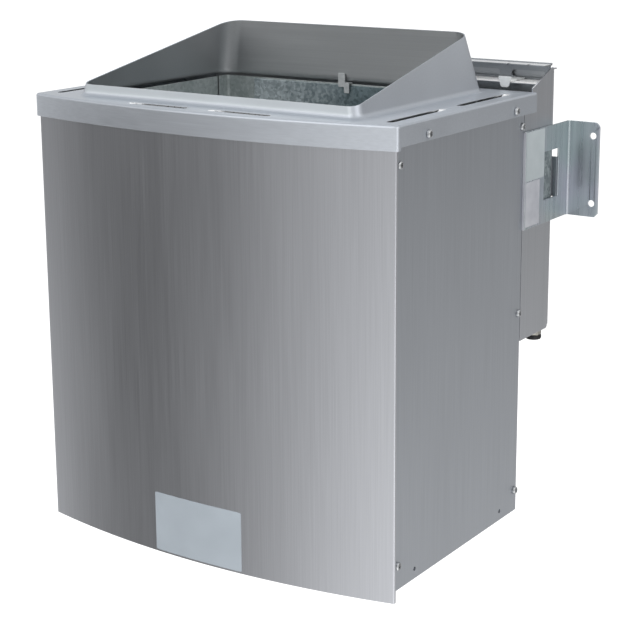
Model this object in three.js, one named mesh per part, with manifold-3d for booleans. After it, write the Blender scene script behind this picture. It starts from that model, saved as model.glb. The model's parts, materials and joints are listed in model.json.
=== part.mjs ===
// Wall-hung electric sauna heater: stainless casing with a drawn stone hopper, stone chamber, wiring casing
// and wall brackets.
// Millimetres. X runs to the right seen from the front, +Y points to the wall and +Z is up.
// The origin lies on the wall, midway between the brackets and midway between their holes.
// The heater's own group measures Y from the casing's front corners and Z from the front panel's lower edge.

import * as THREE from "three";
import { mergeVertices } from "three/addons/utils/BufferGeometryUtils.js";
import Module from "manifold-3d";

const wasm = await Module();
wasm.setup();

// Sheets and clearances
const sheet = 1.2;
const chamberSheet = 1.2;
const linerSheet = 1;
const carrierSheet = 2;
const bracketSheet = 2;
const tongueSheet = 3;
const gap = 0.3;

// Top cover
const coverWidth = 410;
const coverTop = 431;
const coverRear = 255;
const coverFlange = 19;
const frontFlangeDrop = 3;
const frontFlangeWrap = 5;
const coverOverhang = 3;
const coverInnerCorner = 2.8;
const coverInnerBend = 1.2;
const slotWidth = 7;
const frontSlotLength = 68;
const frontSlotBridge = 24;
const frontSlotInset = 15;
const sideSlotInset = 18;
const sideSlotFrontMargin = 11.5;
const sideSlotRearMargin = 26.5;
const sideSlotBridge = 27;

// Stone hopper, drawn up from the cover
const hopperSideMargin = 46.6;
const hopperFront = 8.4;
const hopperRearMargin = 15.4;
const hopperCorner = 18;
const hopperFillet = 5;
const hopperSeam = 2;
const rimFrontHeight = 10.5;
const rimRearHeight = 58;
const sideLean = 0.24;
const endLean = 0.14;

// Front panel and side panels
const frontBulge = 23;
const frontReturn = 3;
const frontInnerFlange = 12;
const coverPlay = 1.8;
const panelSetback = 1.7;
const sideRearInset = 17;
const sideLift = 10;
const topFlangeWidth = 8;
const lowerHemWidth = 9;
const airHoleRadius = 2;
const airHoleHeight = 9.5;
const airHoleInset = 35;
const airHoleCollar = 3;

// Stone chamber, its liner and its rails
const chamberSideInset = 3.4;
const chamberFrontInset = 3.6;
const chamberDrop = 2.2;
const chamberCorner = 4;
const cornerSlitWidth = 2.6;
const cornerSlitInset = 15;
const cornerSlitLift = 30;
const linerInset = 36;
const linerDrop = 1.5;
const railLeg = 22;
const railUpright = 20;
const lowRailHeight = 24;
const lowRailTab = 14;

// Stone grate
const grateClearance = 5;
const grateSeat = 8;
const grateHeight = 6;
const grateFrameWidth = 6;
const grateBar = 3;
const grateBarPitch = 18;
const grateTieWidth = 4;

// Heating elements
const elementCount = 3;
const elementSideInset = 65;
const elementFrontInset = 54;
const elementTopInset = 41;
const elementSpan = 70;
const elementRadius = 4.1;
const elementLegPitch = 14;
const elementLegClearance = 2;
const elementBend = 14;
const elementEnd = 14;
const pinRadius = 1.8;
const pinLength = 9;
const carrierMargin = 24;
const carrierEdge = 5.6;
const carrierClearance = 2;

// Rear casing
const wiringDepth = 53;
const casingBottom = 186;
const casingFrontRise = 3.5;
const casingRearRise = 21;
const casingRound = 3.5;
const casingTongue = 16;
const casingSeam = 1.4;
const lidLift = 3;
const lidFlange = 5;
const trayHeight = 117;
const backLip = 6;
const backRise = 18.7;

// Slotted baffle and heat shields
const baffleSetback = 3;
const baffleRise = 23;
const baffleHeight = 54;
const baffleFlange = 17;
const baffleSlotLength = 37.5;
const baffleSlotWidth = 7;
const baffleSlotBridge = 12.5;
const baffleSlotMargin = 4;
const baffleSlotDrop = 11;
const notchWidth = 2;
const notchDepth = 6;
const notchInsets = [18.3, 40.3];
const shieldSetback = 17;
const shieldPlay = 1.3;
const shieldRise = 7;
const shieldSlit = 2.5;
const shieldClipWidth = 14;
const shieldClipInset = 34.3;
const shieldClipDrop = 5.5;
const shieldClipRise = 5;
const shieldClipChamfer = 3;

// Chamber clip
const clipWidth = 13;
const clipLegWidth = 8;
const clipTabWidth = 6;
const clipSpot = -4;
const clipLegRise = 11;
const clipLegDrop = 3;
const clipTabDrop = 9;
const clipStandOff = 3.4;
const clipHook = 12;

// Terminal block, earth stud and cable gland
const poleCount = 5;
const polePitch = 18;
const poleWall = 3;
const blockDepth = 20;
const blockHeight = 26;
const blockRecess = 9;
const blockSpot = 60;
const blockRise = 66;
const studRadius = 3;
const studLength = 20;
const studNutRadius = 5.8;
const studNutHeight = 5;
const studSpot = -60;
const glandBore = 4;
const glandStubWall = 1.8;
const glandHexWall = 1.2;
const glandHexHeight = 8;
const glandStub = 9;
const glandClearance = 1.5;
const lockNutHeight = 4;
const domeNutWall = 4.2;
const domeNutHeight = 4.5;
const domeNutTaper = 1.5;

// Wall brackets and hook tongues
const wallGap = 35;
const bracketPlay = 0.5;
const bracketLap = 0.4;
const bracketDrop = 36.5;
const bracketHeight = 96.5;
const wallLegWidth = 36;
const wallLegRound = 6;
const wallLegChamfer = 4;
const bracketHoleRadius = 3.3;
const bracketHoleEnd = 13.95;
const bracketHoleInset = 7.3;
const windowAhead = 20;
const windowBehind = 11.6;
const windowLift = 23.5;
const windowHeight = 47.8;
const hookLift = 7.5;
const tongueReach = 2.5;
const tongueRoot = 34;

// Screws
const screwRadius = 2;
const screwHead = 3.9;
const screwCrown = 2.8;
const screwRimHeight = 1.1;
const screwCrownHeight = 2.5;
const screwHeadHeight = 2.9;
const screwLength = 7;
const screwEdge = 0.3;
const coverScrewDrop = 13;
const coverScrewFront = 48;
const coverScrewRear = 43.5;
const upperRearScrewDrop = 30.7;
const middleScrewDrop = 4.2;
const lowerScrewLift = 22;
const upperFrontScrewDrop = 34.8;
const lowerFrontScrewLift = 23.3;

// Facets
const bulgeSteps = 28;
const cornerSteps = 5;
const filletSteps = 4;
const bevelSteps = 3;
const roundSteps = 3;
const holeSides = 10;
const tubeSides = 8;
const bendSteps = 5;
const nutSides = 16;
const screwSides = 12;
const hexSides = 6;

// Cover, hopper and panels, worked out from the sizes above
const coverHalf = coverWidth / 2;
const coverUnder = coverTop - sheet;
const coverBend = coverInnerBend + sheet;
const coverCorner = coverInnerCorner + sheet;
const frontHalf = coverHalf - sheet - coverPlay;
const sideHalf = frontHalf - panelSetback;
const sideInner = sideHalf - sheet;
const innerHalf = sideInner - gap;
const panelTop = coverUnder - gap;
const sideFront = frontReturn + gap;
const sideRear = coverRear - sideRearInset;
const flangeStart = frontReturn + frontInnerFlange + 2 * gap;
const bulgeRadius = (frontHalf ** 2 + frontBulge ** 2) / (2 * frontBulge);
const bulgeCentre = bulgeRadius - frontBulge;
const hopperHalf = coverHalf - hopperSideMargin;
const hopperRear = coverRear - hopperRearMargin;
const rimSlope = (rimRearHeight - rimFrontHeight) / (hopperRear - hopperFront);

// Casing, elements, chamber and rails
const lidBottom = casingBottom + lidLift;
const trayBottom = lidBottom + sheet + gap;
const trayTop = lidBottom + trayHeight;
const elementLowerLeg = lidBottom + lidFlange + elementLegClearance + elementRadius;
const elementUpperLeg = elementLowerLeg + elementLegPitch;
const railTop = elementUpperLeg + elementRadius + elementLegClearance + sheet;
const railHalf = innerHalf - sheet - gap;
const chamberHalf = hopperHalf - chamberSideInset;
const chamberFront = hopperFront + chamberFrontInset;
const chamberRear = hopperRear;
const chamberTop = coverUnder - chamberDrop;
const chamberBottom = railTop + gap;
const chamberFloor = chamberBottom + chamberSheet;
const carrierRear = chamberRear + chamberSheet + gap + sheet + carrierClearance + carrierSheet;
const trayFront = carrierRear + gap;
const casingRear = trayFront + wiringDepth;

// Stone grate, which lifts out through the hopper's rim
const rearRimRise = rimRearHeight / (1 + rimSlope * endLean);
const frontRimRise = rimFrontHeight / (1 - rimSlope * endLean);
const mouthHalf = hopperHalf - sheet - sideLean * rearRimRise;
const mouthFront = hopperFront + sheet + endLean * frontRimRise;
const mouthRear = hopperRear - sheet - endLean * rearRimRise;
const grateHalf = Math.min(chamberHalf, mouthHalf) - grateClearance;
const grateFront = Math.max(chamberFront, mouthFront) + grateClearance;
const grateRear = Math.min(chamberRear, mouthRear) - grateClearance;
const elementFront = chamberFront + elementFrontInset;
const elementTop = chamberTop - elementTopInset;

// Baffle, shields, brackets and screws
const baffleTop = coverTop + baffleRise;
const baffleRear = casingRear - baffleSetback;
const shieldTop = coverTop + shieldRise;
const shieldFront = trayFront + shieldSetback;
const shieldRear = baffleRear - sheet - shieldPlay;
const shieldFlange = (shieldRear - shieldFront - shieldSlit) / 2;
const wallPlane = casingRear + wallGap;
const bracketTop = coverTop - bracketDrop;
const bracketBottom = bracketTop - bracketHeight;
const bracketMiddle = (bracketTop + bracketBottom) / 2;
const bracketFront = sideRear - bracketLap;
const bracketInner = sideHalf + bracketPlay;
const bracketOuter = bracketInner + bracketSheet;
const windowBottom = bracketBottom + windowLift;
const frontScrewY = sideFront + screwHead + screwEdge;
const rearScrewY = bracketFront - screwHead - screwEdge;
const coverScrewHeight = coverTop - coverScrewDrop;
const coverScrewSpots = [coverScrewFront, coverRear - coverScrewRear];
const frontScrewHeights = [sideLift + lowerFrontScrewLift, coverTop - upperFrontScrewDrop];
const lowScrewHeight = sideLift + lowerScrewLift;
const middleScrewHeight = railTop - sheet - middleScrewDrop;
const casingScrewHeights = [middleScrewHeight, coverTop - upperRearScrewDrop];

// Booleans on closed meshes
function bare(geometry) {
  const plain = geometry.clone();
  plain.deleteAttribute("normal");
  plain.deleteAttribute("uv");
  return mergeVertices(plain, 1e-4);
}

function toSolid(geometry) {
  const plain = bare(geometry);
  const vertProperties = new Float32Array(plain.attributes.position.array);
  const triVerts = new Uint32Array(plain.index.array);
  return new wasm.Manifold(new wasm.Mesh({ numProp: 3, vertProperties, triVerts }));
}

function toGeometry(solid) {
  const mesh = solid.getMesh();
  const geometry = new THREE.BufferGeometry();
  geometry.setAttribute("position", new THREE.BufferAttribute(new Float32Array(mesh.vertProperties), 3));
  geometry.setIndex(Array.from(mesh.triVerts));
  return geometry;
}

function cut(base, ...tools) {
  return toGeometry(tools.reduce((solid, tool) => solid.subtract(toSolid(tool)), toSolid(base)));
}

function join(base, ...others) {
  return toGeometry(others.reduce((solid, other) => solid.add(toSolid(other)), toSolid(base)));
}

function common(first, second) {
  return toGeometry(toSolid(first).intersect(toSolid(second)));
}

function mirrored(geometry) {
  const flipped = bare(geometry).scale(-1, 1, 1);
  flipped.setIndex(Array.from(flipped.index.array).reverse());
  return flipped;
}

// Outlines and sheets
function outline(corners) {
  const shape = new THREE.Shape();
  corners.forEach(([x, y, round = 0], i) => {
    const corner = new THREE.Vector2(x, y);
    const before = new THREE.Vector2(...corners.at(i - 1).slice(0, 2));
    const after = new THREE.Vector2(...corners[(i + 1) % corners.length].slice(0, 2));
    const start = before.sub(corner).setLength(round).add(corner);
    const end = after.sub(corner).setLength(round).add(corner);
    if (i === 0) shape.moveTo(start.x, start.y);
    else shape.lineTo(start.x, start.y);
    if (round > 0) shape.quadraticCurveTo(x, y, end.x, end.y);
  });
  shape.closePath();
  return shape;
}

function rectangle(x0, x1, y0, y1, round = 0) {
  return outline([[x0, y0, round], [x1, y0, round], [x1, y1, round], [x0, y1, round]]);
}

// A bent sheet seen on its edge: the points follow one face and the sheet lies to their left
function bentSheet(points, thickness) {
  const face = points.map(([x, y]) => new THREE.Vector2(x, y));
  const other = face.map((point, i) => {
    const along = (from, to) => to.clone().sub(from).normalize();
    const before = i > 0 ? along(face[i - 1], point) : along(point, face[i + 1]);
    const after = i < face.length - 1 ? along(point, face[i + 1]) : before;
    const mitre = new THREE.Vector2(-before.y - after.y, before.x + after.x);
    return mitre.multiplyScalar(thickness / (1 + before.dot(after))).add(point);
  });
  return new THREE.Shape([...face, ...other.reverse()]);
}

function slotOutline(centreX, centreY, length, width) {
  const half = (length - width) / 2;
  const shape = new THREE.Shape();
  shape.absarc(centreX + half, centreY, width / 2, -Math.PI / 2, Math.PI / 2);
  shape.absarc(centreX - half, centreY, width / 2, Math.PI / 2, (3 * Math.PI) / 2);
  shape.closePath();
  return shape;
}

function disc(x, y, radius, sides = holeSides) {
  const centre = new THREE.Vector2(x, y);
  const corners = Array.from({ length: sides }, (_, i) => {
    const angle = (2 * Math.PI * (i + 0.5)) / sides;
    return new THREE.Vector2(Math.cos(angle), Math.sin(angle)).multiplyScalar(radius).add(centre);
  });
  return new THREE.Shape(corners);
}

function withHoles(shape, ...holes) {
  shape.holes.push(...holes);
  return shape;
}

function extrude(shape, depth) {
  return new THREE.ExtrudeGeometry(shape, { depth, bevelEnabled: false, curveSegments: roundSteps });
}

// A plan outline raised from one height to another
function raised(shape, from, to) {
  return extrude(shape, to - from).translate(0, 0, from);
}

// An outline in Y and Z carried along X
function acrossWidth(shape, from, to) {
  const turn = new THREE.Matrix4().makeBasis(
    new THREE.Vector3(0, 1, 0), new THREE.Vector3(0, 0, 1), new THREE.Vector3(1, 0, 0));
  return extrude(shape, to - from).applyMatrix4(turn).translate(from, 0, 0);
}

// An outline in X and Z carried along Y
function alongDepth(shape, from, to) {
  const turn = new THREE.Matrix4().makeBasis(
    new THREE.Vector3(1, 0, 0), new THREE.Vector3(0, 0, 1), new THREE.Vector3(0, -1, 0));
  return extrude(shape, to - from).applyMatrix4(turn).translate(0, to, 0);
}

function block(x0, x1, y0, y1, z0, z1) {
  return raised(rectangle(x0, x1, y0, y1), z0, z1);
}

// A closed skin over rings of points: a tube with two ends, or a ring-shaped body when it closes on itself
function loft(rings, closed) {
  const count = rings[0].length;
  const index = [];
  const last = closed ? rings.length : rings.length - 1;
  for (let r = 0; r < last; r++) {
    const next = (r + 1) % rings.length;
    for (let i = 0; i < count; i++) {
      const j = (i + 1) % count;
      index.push(r * count + i, r * count + j, next * count + j);
      index.push(r * count + i, next * count + j, next * count + i);
    }
  }
  if (!closed) {
    const end = (rings.length - 1) * count;
    for (let i = 1; i < count - 1; i++) {
      index.push(0, i + 1, i);
      index.push(end, end + i, end + i + 1);
    }
  }
  const geometry = new THREE.BufferGeometry().setFromPoints(rings.flat());
  geometry.setIndex(signedVolume(geometry, index) > 0 ? index : index.reverse());
  return geometry;
}

function signedVolume(geometry, index) {
  const at = (i) => new THREE.Vector3().fromBufferAttribute(geometry.attributes.position, index[i]);
  let volume = 0;
  for (let i = 0; i < index.length; i += 3) {
    volume += at(i).dot(at(i + 1).cross(at(i + 2)));
  }
  return volume;
}

// Finishes, one new material for each piece
const finish = (color, roughness, metalness) => () =>
  new THREE.MeshStandardMaterial({ color, roughness, metalness, flatShading: true });
const brushedStainless = finish(0x9a9ca0, 0.42, 0.9);
const plainStainless = finish(0x8d9094, 0.45, 0.9);
const galvanised = finish(0x77858a, 0.55, 0.8);
const zincPlate = finish(0x95a3a6, 0.4, 0.85);
const screwSteel = finish(0xc4c6c8, 0.25, 1);
const elementSheath = finish(0x4c4f4e, 0.55, 0.7);
const ceramic = finish(0xe4e0d4, 0.6, 0);
const brass = finish(0xb79a55, 0.35, 1);
const nickel = finish(0xa9a9a4, 0.35, 1);
const blackNylon = finish(0x17181a, 0.6, 0);

function piece(name, geometry, material) {
  const mesh = new THREE.Mesh(bare(geometry), material);
  mesh.name = name;
  return mesh;
}

// Front panel: one bent sheet, bulged between narrow returns, with flanges that tuck behind the side panels
function bulgeY(x, radius) {
  return bulgeCentre - Math.sqrt(radius ** 2 - x ** 2);
}

function bulgePoints(half, radius) {
  const reach = Math.asin(half / radius);
  return Array.from({ length: bulgeSteps + 1 }, (_, i) => {
    const angle = reach * ((2 * i) / bulgeSteps - 1);
    return [radius * Math.sin(angle), bulgeCentre - radius * Math.cos(angle)];
  });
}

function sideBore(side, y, z) {
  const bore = acrossWidth(disc(y, z, screwRadius + gap), 0, coverWidth);
  return side > 0 ? bore : mirrored(bore);
}

function frontPanel() {
  const flangeEnd = frontReturn + frontInnerFlange;
  const end = [[frontHalf, frontReturn], [innerHalf, frontReturn], [innerHalf, flangeEnd]];
  const start = end.map(([x, y]) => [-x, y]).reverse();
  const plan = bentSheet([...start, ...bulgePoints(frontHalf, bulgeRadius), ...end], sheet);
  const bores = [1, -1].flatMap((side) => frontScrewHeights.map((z) => sideBore(side, frontScrewY, z)));
  // The inner flanges end level with the side panels' lower edges
  const foot = block(-frontHalf, frontHalf, frontReturn, flangeEnd + gap, -gap, sideLift);
  return cut(raised(plan, 0, panelTop), foot, ...bores);
}

// Side panel: a flat sheet with a folded top flange and lower hem, screw holes and two drawn air holes
function sidePanel() {
  const wall = rectangle(sideFront, sideRear, sideLift, panelTop);
  const screwHole = (y, z) => disc(y, z, screwRadius + gap);
  const airSpots = [sideFront + airHoleInset, sideRear - airHoleInset];
  const airDisc = (y, radius) => disc(y, sideLift + airHoleHeight, radius);
  const collars = airSpots.map((y) => {
    const ring = withHoles(airDisc(y, airHoleRadius + sheet), airDisc(y, airHoleRadius));
    return acrossWidth(ring, sideInner - airHoleCollar, sideHalf);
  });
  withHoles(
    wall,
    ...airSpots.map((y) => airDisc(y, airHoleRadius)),
    ...frontScrewHeights.map((z) => screwHole(frontScrewY, z)),
    ...[lowScrewHeight, ...casingScrewHeights].map((z) => screwHole(rearScrewY, z)),
    ...coverScrewSpots.map((y) => screwHole(y, coverScrewHeight)));
  const fold = (width, low) => block(sideHalf - width, sideHalf, flangeStart, sideRear, low, low + sheet);
  return join(
    acrossWidth(wall, sideInner, sideHalf),
    fold(topFlangeWidth, panelTop - sheet),
    fold(lowerHemWidth, sideLift),
    ...collars);
}

// Stone hopper: a leaning collar with rounded corners, a fillet at its foot and an inclined rim
function hopperLoop(outset) {
  const round = hopperCorner + outset;
  const corners = [
    { side: 1, end: 1, y: hopperRear + outset }, { side: -1, end: 1, y: hopperRear + outset },
    { side: -1, end: -1, y: hopperFront - outset }, { side: 1, end: -1, y: hopperFront - outset }];
  return corners.flatMap(({ side, end, y }, quarter) =>
    Array.from({ length: cornerSteps + 1 }, (_, i) => {
      const angle = (Math.PI / 2) * (quarter + i / cornerSteps);
      const centreX = side * (hopperHalf + outset - round);
      const foot = new THREE.Vector3(
        centreX + round * Math.cos(angle), y - end * round + round * Math.sin(angle), coverTop);
      return { foot, end, lean: new THREE.Vector3(-sideLean * side, -endLean * end, 1) };
    }));
}

function hopperRing(outset, height) {
  return hopperLoop(outset).map(({ foot, lean }) => foot.addScaledVector(lean, height));
}

function rimRing(outset) {
  return hopperLoop(outset).map(({ foot, end, lean }) => {
    const climb = rimFrontHeight + rimSlope * (foot.y - hopperFront);
    return foot.addScaledVector(lean, climb / (1 + rimSlope * endLean * end));
  });
}

function hopperPlan(outset) {
  return new THREE.Shape(hopperLoop(outset).map(({ foot }) => new THREE.Vector2(foot.x, foot.y)));
}

function drawnHopper() {
  const steps = Array.from({ length: filletSteps + 1 }, (_, i) => i / filletSteps);
  const skin = (inset) => {
    const size = hopperFillet + inset;
    return steps.map((t) => hopperRing(size * (1 - t) ** 2 - inset, size * t ** 2 - inset));
  };
  const foot = hopperFillet + hopperSeam;
  const outside = [hopperRing(foot, 0), ...skin(0), rimRing(0)];
  const inside = [hopperRing(foot, -sheet), ...skin(sheet), rimRing(-sheet)];
  return loft([...outside, ...inside.reverse()], true);
}

// Top cover: a shallow cap with rounded bends, open at the rear, with air slots and the hopper drawn up
function coverCap(inset, rear, bend, low, high) {
  const half = coverHalf - inset;
  const radius = bulgeRadius + coverOverhang - inset;
  const round = coverCorner - inset;
  const cornerY = bulgeY(half, radius);
  const front = bulgePoints(half - round, radius).map(([x, y]) => new THREE.Vector2(x, y));
  const plan = new THREE.Shape(front);
  plan.quadraticCurveTo(half, cornerY, half, cornerY + round);
  plan.lineTo(half, rear);
  plan.lineTo(-half, rear);
  plan.lineTo(-half, cornerY + round);
  plan.quadraticCurveTo(-half, cornerY, front[0].x, front[0].y);
  const solid = new THREE.ExtrudeGeometry(plan, {
    depth: high - low - bend,
    curveSegments: roundSteps,
    bevelThickness: bend,
    bevelSize: bend,
    bevelOffset: -bend,
    bevelSegments: bevelSteps,
  });
  return solid.translate(0, 0, low);
}

function coverSlots() {
  const frontY = sheet + frontSlotInset - frontBulge - coverOverhang;
  const frontPitch = frontSlotLength + frontSlotBridge;
  const sideLength = (coverRear - sideSlotFrontMargin - sideSlotRearMargin - sideSlotBridge) / 2;
  const sideCentres = [sideSlotFrontMargin + sideLength / 2, coverRear - sideSlotRearMargin - sideLength / 2];
  const sideX = coverHalf - sideSlotInset;
  return [-1, 1].flatMap((side) => [
    slotOutline((side * frontPitch) / 2, frontY, frontSlotLength, slotWidth),
    ...sideCentres.map((y) => {
      const turned = slotOutline(y, 0, sideLength, slotWidth).getPoints(roundSteps);
      return new THREE.Shape(turned.map((p) => new THREE.Vector2(side * sideX - p.y, p.x)));
    })]);
}

function topCover() {
  const sideLow = coverTop - coverFlange;
  const low = sideLow - frontFlangeDrop;
  const below = low - 2 * coverBend;
  const above = coverTop + sheet;
  const rearEnd = coverRear + coverBend;
  const cap = coverCap(0, rearEnd, coverBend, low - coverBend, coverTop);
  const inside = coverCap(sheet, rearEnd + coverBend, coverInnerBend, below, coverUnder);
  const cornerY = bulgeY(coverHalf, bulgeRadius + coverOverhang);
  const wide = coverWidth;
  const shell = cut(
    cap,
    inside,
    block(-wide, wide, -wide, wide, below, low),
    block(-wide, wide, coverRear, wide, below, above),
    block(-wide, wide, cornerY + frontFlangeWrap, wide, below, sideLow),
    raised(hopperPlan(hopperFillet + hopperSeam / 2), low, above),
    ...coverSlots().map((slot) => raised(slot, low, above)),
    ...[1, -1].flatMap((side) => coverScrewSpots.map((y) => sideBore(side, y, coverScrewHeight))));
  return join(shell, drawnHopper());
}

// Stone chamber: a four-sided galvanised shaft with slit rear corners and a lip below that carries the grate
function chamberOutline(outset) {
  const half = chamberHalf + outset;
  return rectangle(-half, half, chamberFront - outset, chamberRear + outset, chamberCorner + outset);
}

function stoneChamber() {
  const wall = raised(withHoles(chamberOutline(chamberSheet), chamberOutline(0)), chamberBottom, chamberTop);
  const opening = grateHalf - grateSeat;
  const lip = withHoles(
    chamberOutline(chamberSheet),
    rectangle(-opening, opening, grateFront + grateSeat, grateRear - grateSeat));
  const slitRear = chamberRear - cornerSlitInset;
  const slit = block(
    -coverHalf, coverHalf, slitRear - cornerSlitWidth, slitRear, chamberFloor + cornerSlitLift, coverTop);
  return cut(join(wall, raised(lip, chamberBottom, chamberFloor)), slit);
}

// Chamber liner: a plate that stands on the lip against the chamber's rear wall
const linerRear = chamberRear - gap;

function chamberLiner() {
  const half = chamberHalf - linerInset;
  return block(-half, half, linerRear - linerSheet, linerRear, chamberFloor + gap, chamberTop - linerDrop);
}

// Chamber rails: angles under the front and rear edges of the chamber, with an end tab against each side
function chamberRail(outerFace, towards) {
  const top = railTop;
  const face = outerFace + towards * (gap + sheet);
  const angle = bentSheet(
    towards > 0
      ? [[face - railLeg, top - sheet], [face, top - sheet], [face, top + railUpright]]
      : [[face, top + railUpright], [face, top - sheet], [face + railLeg, top - sheet]],
    sheet);
  const tabStart = Math.min(face, face - towards * railLeg);
  const tab = (x) => block(x - sheet, x, tabStart, tabStart + railLeg, top - sheet, top + railUpright);
  return join(acrossWidth(angle, -railHalf, railHalf), tab(railHalf), tab(-railHalf + sheet));
}

// Lower rear rail: a strip between the side panels' lower rear corners, with tabs that take their screws
function lowerRearRail() {
  const rear = sideRear - gap;
  const low = lowScrewHeight - lowRailHeight / 2;
  const end = [[innerHalf, rear - lowRailTab], [innerHalf, rear]];
  const start = end.map(([x, y]) => [-x, y]).reverse();
  const plan = bentSheet([...end, ...start], sheet);
  const bores = [1, -1].map((side) => sideBore(side, rearScrewY, lowScrewHeight));
  return cut(raised(plan, low, low + lowRailHeight), ...bores);
}

// Stone grate: a flat frame with bars that pass on either side of the element loops, and two ties
const elementSpots = Array.from({ length: elementCount }, (_, i) =>
  (chamberHalf - elementSideInset) * ((2 * i) / (elementCount - 1) - 1));
const elementRearLeg = elementFront + elementSpan;

function stoneGrate() {
  const low = chamberFloor + gap;
  const high = low + grateHeight;
  const inner = grateHalf - grateFrameWidth;
  const frame = withHoles(
    rectangle(-grateHalf, grateHalf, grateFront, grateRear, hopperCorner),
    rectangle(-inner, inner, grateFront + grateFrameWidth, grateRear - grateFrameWidth, hopperCorner / 2));
  const barLimit = Math.floor((inner - grateBar) / grateBarPitch);
  const clear = elementRadius + grateBar;
  const barSpots = Array.from({ length: 2 * barLimit + 1 }, (_, i) => (i - barLimit) * grateBarPitch)
    .filter((x) => elementSpots.every((spot) => Math.abs(x - spot) > clear));
  const overlap = grateFrameWidth / 2;
  const bars = barSpots.map((x) => {
    const half = grateBar / 2;
    return block(x - half, x + half, grateFront + overlap, grateRear - overlap, low + gap, high - gap);
  });
  const ties = [(grateFront + elementFront) / 2, (grateRear + elementRearLeg) / 2].map((y) => {
    const reach = inner + overlap;
    const half = grateTieWidth / 2;
    return block(-reach, reach, y - half, y + half, low + gap, low + grateHeight / 2);
  });
  return join(raised(frame, low, high), ...bars, ...ties);
}

// Heating element: a tube that runs in under the grate, loops up through the stones and runs out again
function arcPoints(centreY, centreZ, radius, fromAngle, toAngle) {
  return Array.from({ length: bendSteps + 1 }, (_, i) => {
    const angle = THREE.MathUtils.lerp(fromAngle, toAngle, i / bendSteps);
    return new THREE.Vector2(centreY + radius * Math.cos(angle), centreZ + radius * Math.sin(angle));
  });
}

const elementRear = trayFront + sheet + elementEnd;

function elementPath() {
  const right = Math.PI / 2;
  const loopRadius = elementSpan / 2;
  const crown = [elementFront + loopRadius, elementTop - loopRadius];
  const frontBend = [elementFront + elementBend, elementLowerLeg + elementBend];
  const rearBend = [elementRearLeg + elementBend, elementUpperLeg + elementBend];
  return [
    new THREE.Vector2(elementRear, elementLowerLeg),
    ...arcPoints(...frontBend, elementBend, -right, -2 * right),
    ...arcPoints(...crown, loopRadius, 2 * right, right),
    ...arcPoints(...crown, loopRadius, right, 0).slice(1),
    ...arcPoints(...rearBend, elementBend, 2 * right, 3 * right),
    new THREE.Vector2(elementRear, elementUpperLeg)];
}

function heatingElement(x) {
  const path = elementPath();
  const rings = path.map((centre, i) => {
    const ahead = path[Math.min(i + 1, path.length - 1)];
    const behind = path[Math.max(i - 1, 0)];
    const along = ahead.clone().sub(behind).normalize();
    return Array.from({ length: tubeSides }, (_, s) => {
      const angle = (2 * Math.PI * (s + 0.5)) / tubeSides;
      const sideways = elementRadius * Math.cos(angle);
      const across = elementRadius * Math.sin(angle);
      return new THREE.Vector3(x + sideways, centre.x - across * along.y, centre.y + across * along.x);
    });
  });
  const pin = (z) =>
    alongDepth(disc(x, z, pinRadius, tubeSides), elementRear - pinLength, elementRear + pinLength);
  return join(loft(rings, false), pin(elementLowerLeg), pin(elementUpperLeg));
}

function elementHoles() {
  return elementSpots.flatMap((x) =>
    [elementLowerLeg, elementUpperLeg].map((z) => disc(x, z, elementRadius + gap)));
}

function elementCarrier() {
  const half = elementSpots.at(-1) + carrierMargin;
  const middle = (elementLowerLeg + elementUpperLeg) / 2;
  const reach = elementLegPitch / 2 + elementRadius + gap + carrierEdge;
  const plate = rectangle(-half, half, middle - reach, middle + reach, carrierEdge);
  return alongDepth(withHoles(plate, ...elementHoles()), carrierRear - carrierSheet, carrierRear);
}

// Rear casing side: a joggled sheet whose tongue tucks inside the side panel, trimmed to a sloped top edge
function casingSide() {
  const front = sideRear - casingTongue;
  const step = sideRear + casingSeam;
  const joggle = [[innerHalf, front], [innerHalf, step], [sideHalf, step], [sideHalf, casingRear]];
  const tongueTop = panelTop - sheet - gap;
  const behindCover = coverRear + gap;
  const rearTop = coverTop + casingRearRise;
  const edge = outline([
    [front, casingBottom], [casingRear, casingBottom, casingRound], [casingRear, rearTop, casingRound],
    [behindCover, coverTop + casingFrontRise], [behindCover, tongueTop], [front, tongueTop]]);
  const trimmed = common(
    raised(bentSheet(joggle, sheet), casingBottom, rearTop + casingRound),
    acrossWidth(edge, innerHalf - 2 * sheet, sideHalf + sheet));
  return cut(trimmed, ...casingScrewHeights.map((z) => sideBore(1, rearScrewY, z)));
}

function casingBackPlate() {
  const face = casingRear + gap;
  const top = coverTop + backRise;
  const bottom = casingBottom + casingRound;
  const profile = [[face + sheet + backLip, top], [face, top], [face, bottom]];
  return acrossWidth(bentSheet(profile, sheet), -sideHalf, sideHalf);
}

// Cable gland sizes, and its place in the lid's rear corner
const glandThread = glandBore + glandStubWall;
const glandHex = (glandThread + glandHexWall) / Math.cos(Math.PI / hexSides);
const glandX = sideInner - glandClearance - glandThread - glandHexWall;
const glandY = casingRear - gap - sheet - glandClearance - glandHex;

function glandRound(radius, sides = nutSides) {
  return disc(glandX, glandY, radius, sides);
}

// Bottom lid of the casing: a shallow channel with the cable entry
function casingBottomLid() {
  const front = trayFront + sheet + gap;
  const rear = casingRear - gap;
  const high = lidBottom + lidFlange;
  const channel = bentSheet([[front, high], [front, lidBottom], [rear, lidBottom], [rear, high]], sheet);
  const entry = raised(glandRound(glandThread + gap), lidBottom - sheet, lidBottom + 2 * sheet);
  return cut(acrossWidth(channel, -innerHalf, innerHalf), entry);
}

// Terminal tray: the front wall and the roof of the wiring space
const terminalHeight = lidBottom + blockRise;

function terminalTray() {
  const profile = [[casingRear - gap, trayTop], [trayFront, trayTop], [trayFront, trayBottom]];
  const tray = acrossWidth(bentSheet(profile, sheet), -innerHalf, innerHalf);
  const holes = [...elementHoles(), disc(studSpot, terminalHeight, studRadius + gap)];
  return cut(tray, ...holes.map((hole) => alongDepth(hole, trayFront - sheet, trayFront + 2 * sheet)));
}

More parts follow.
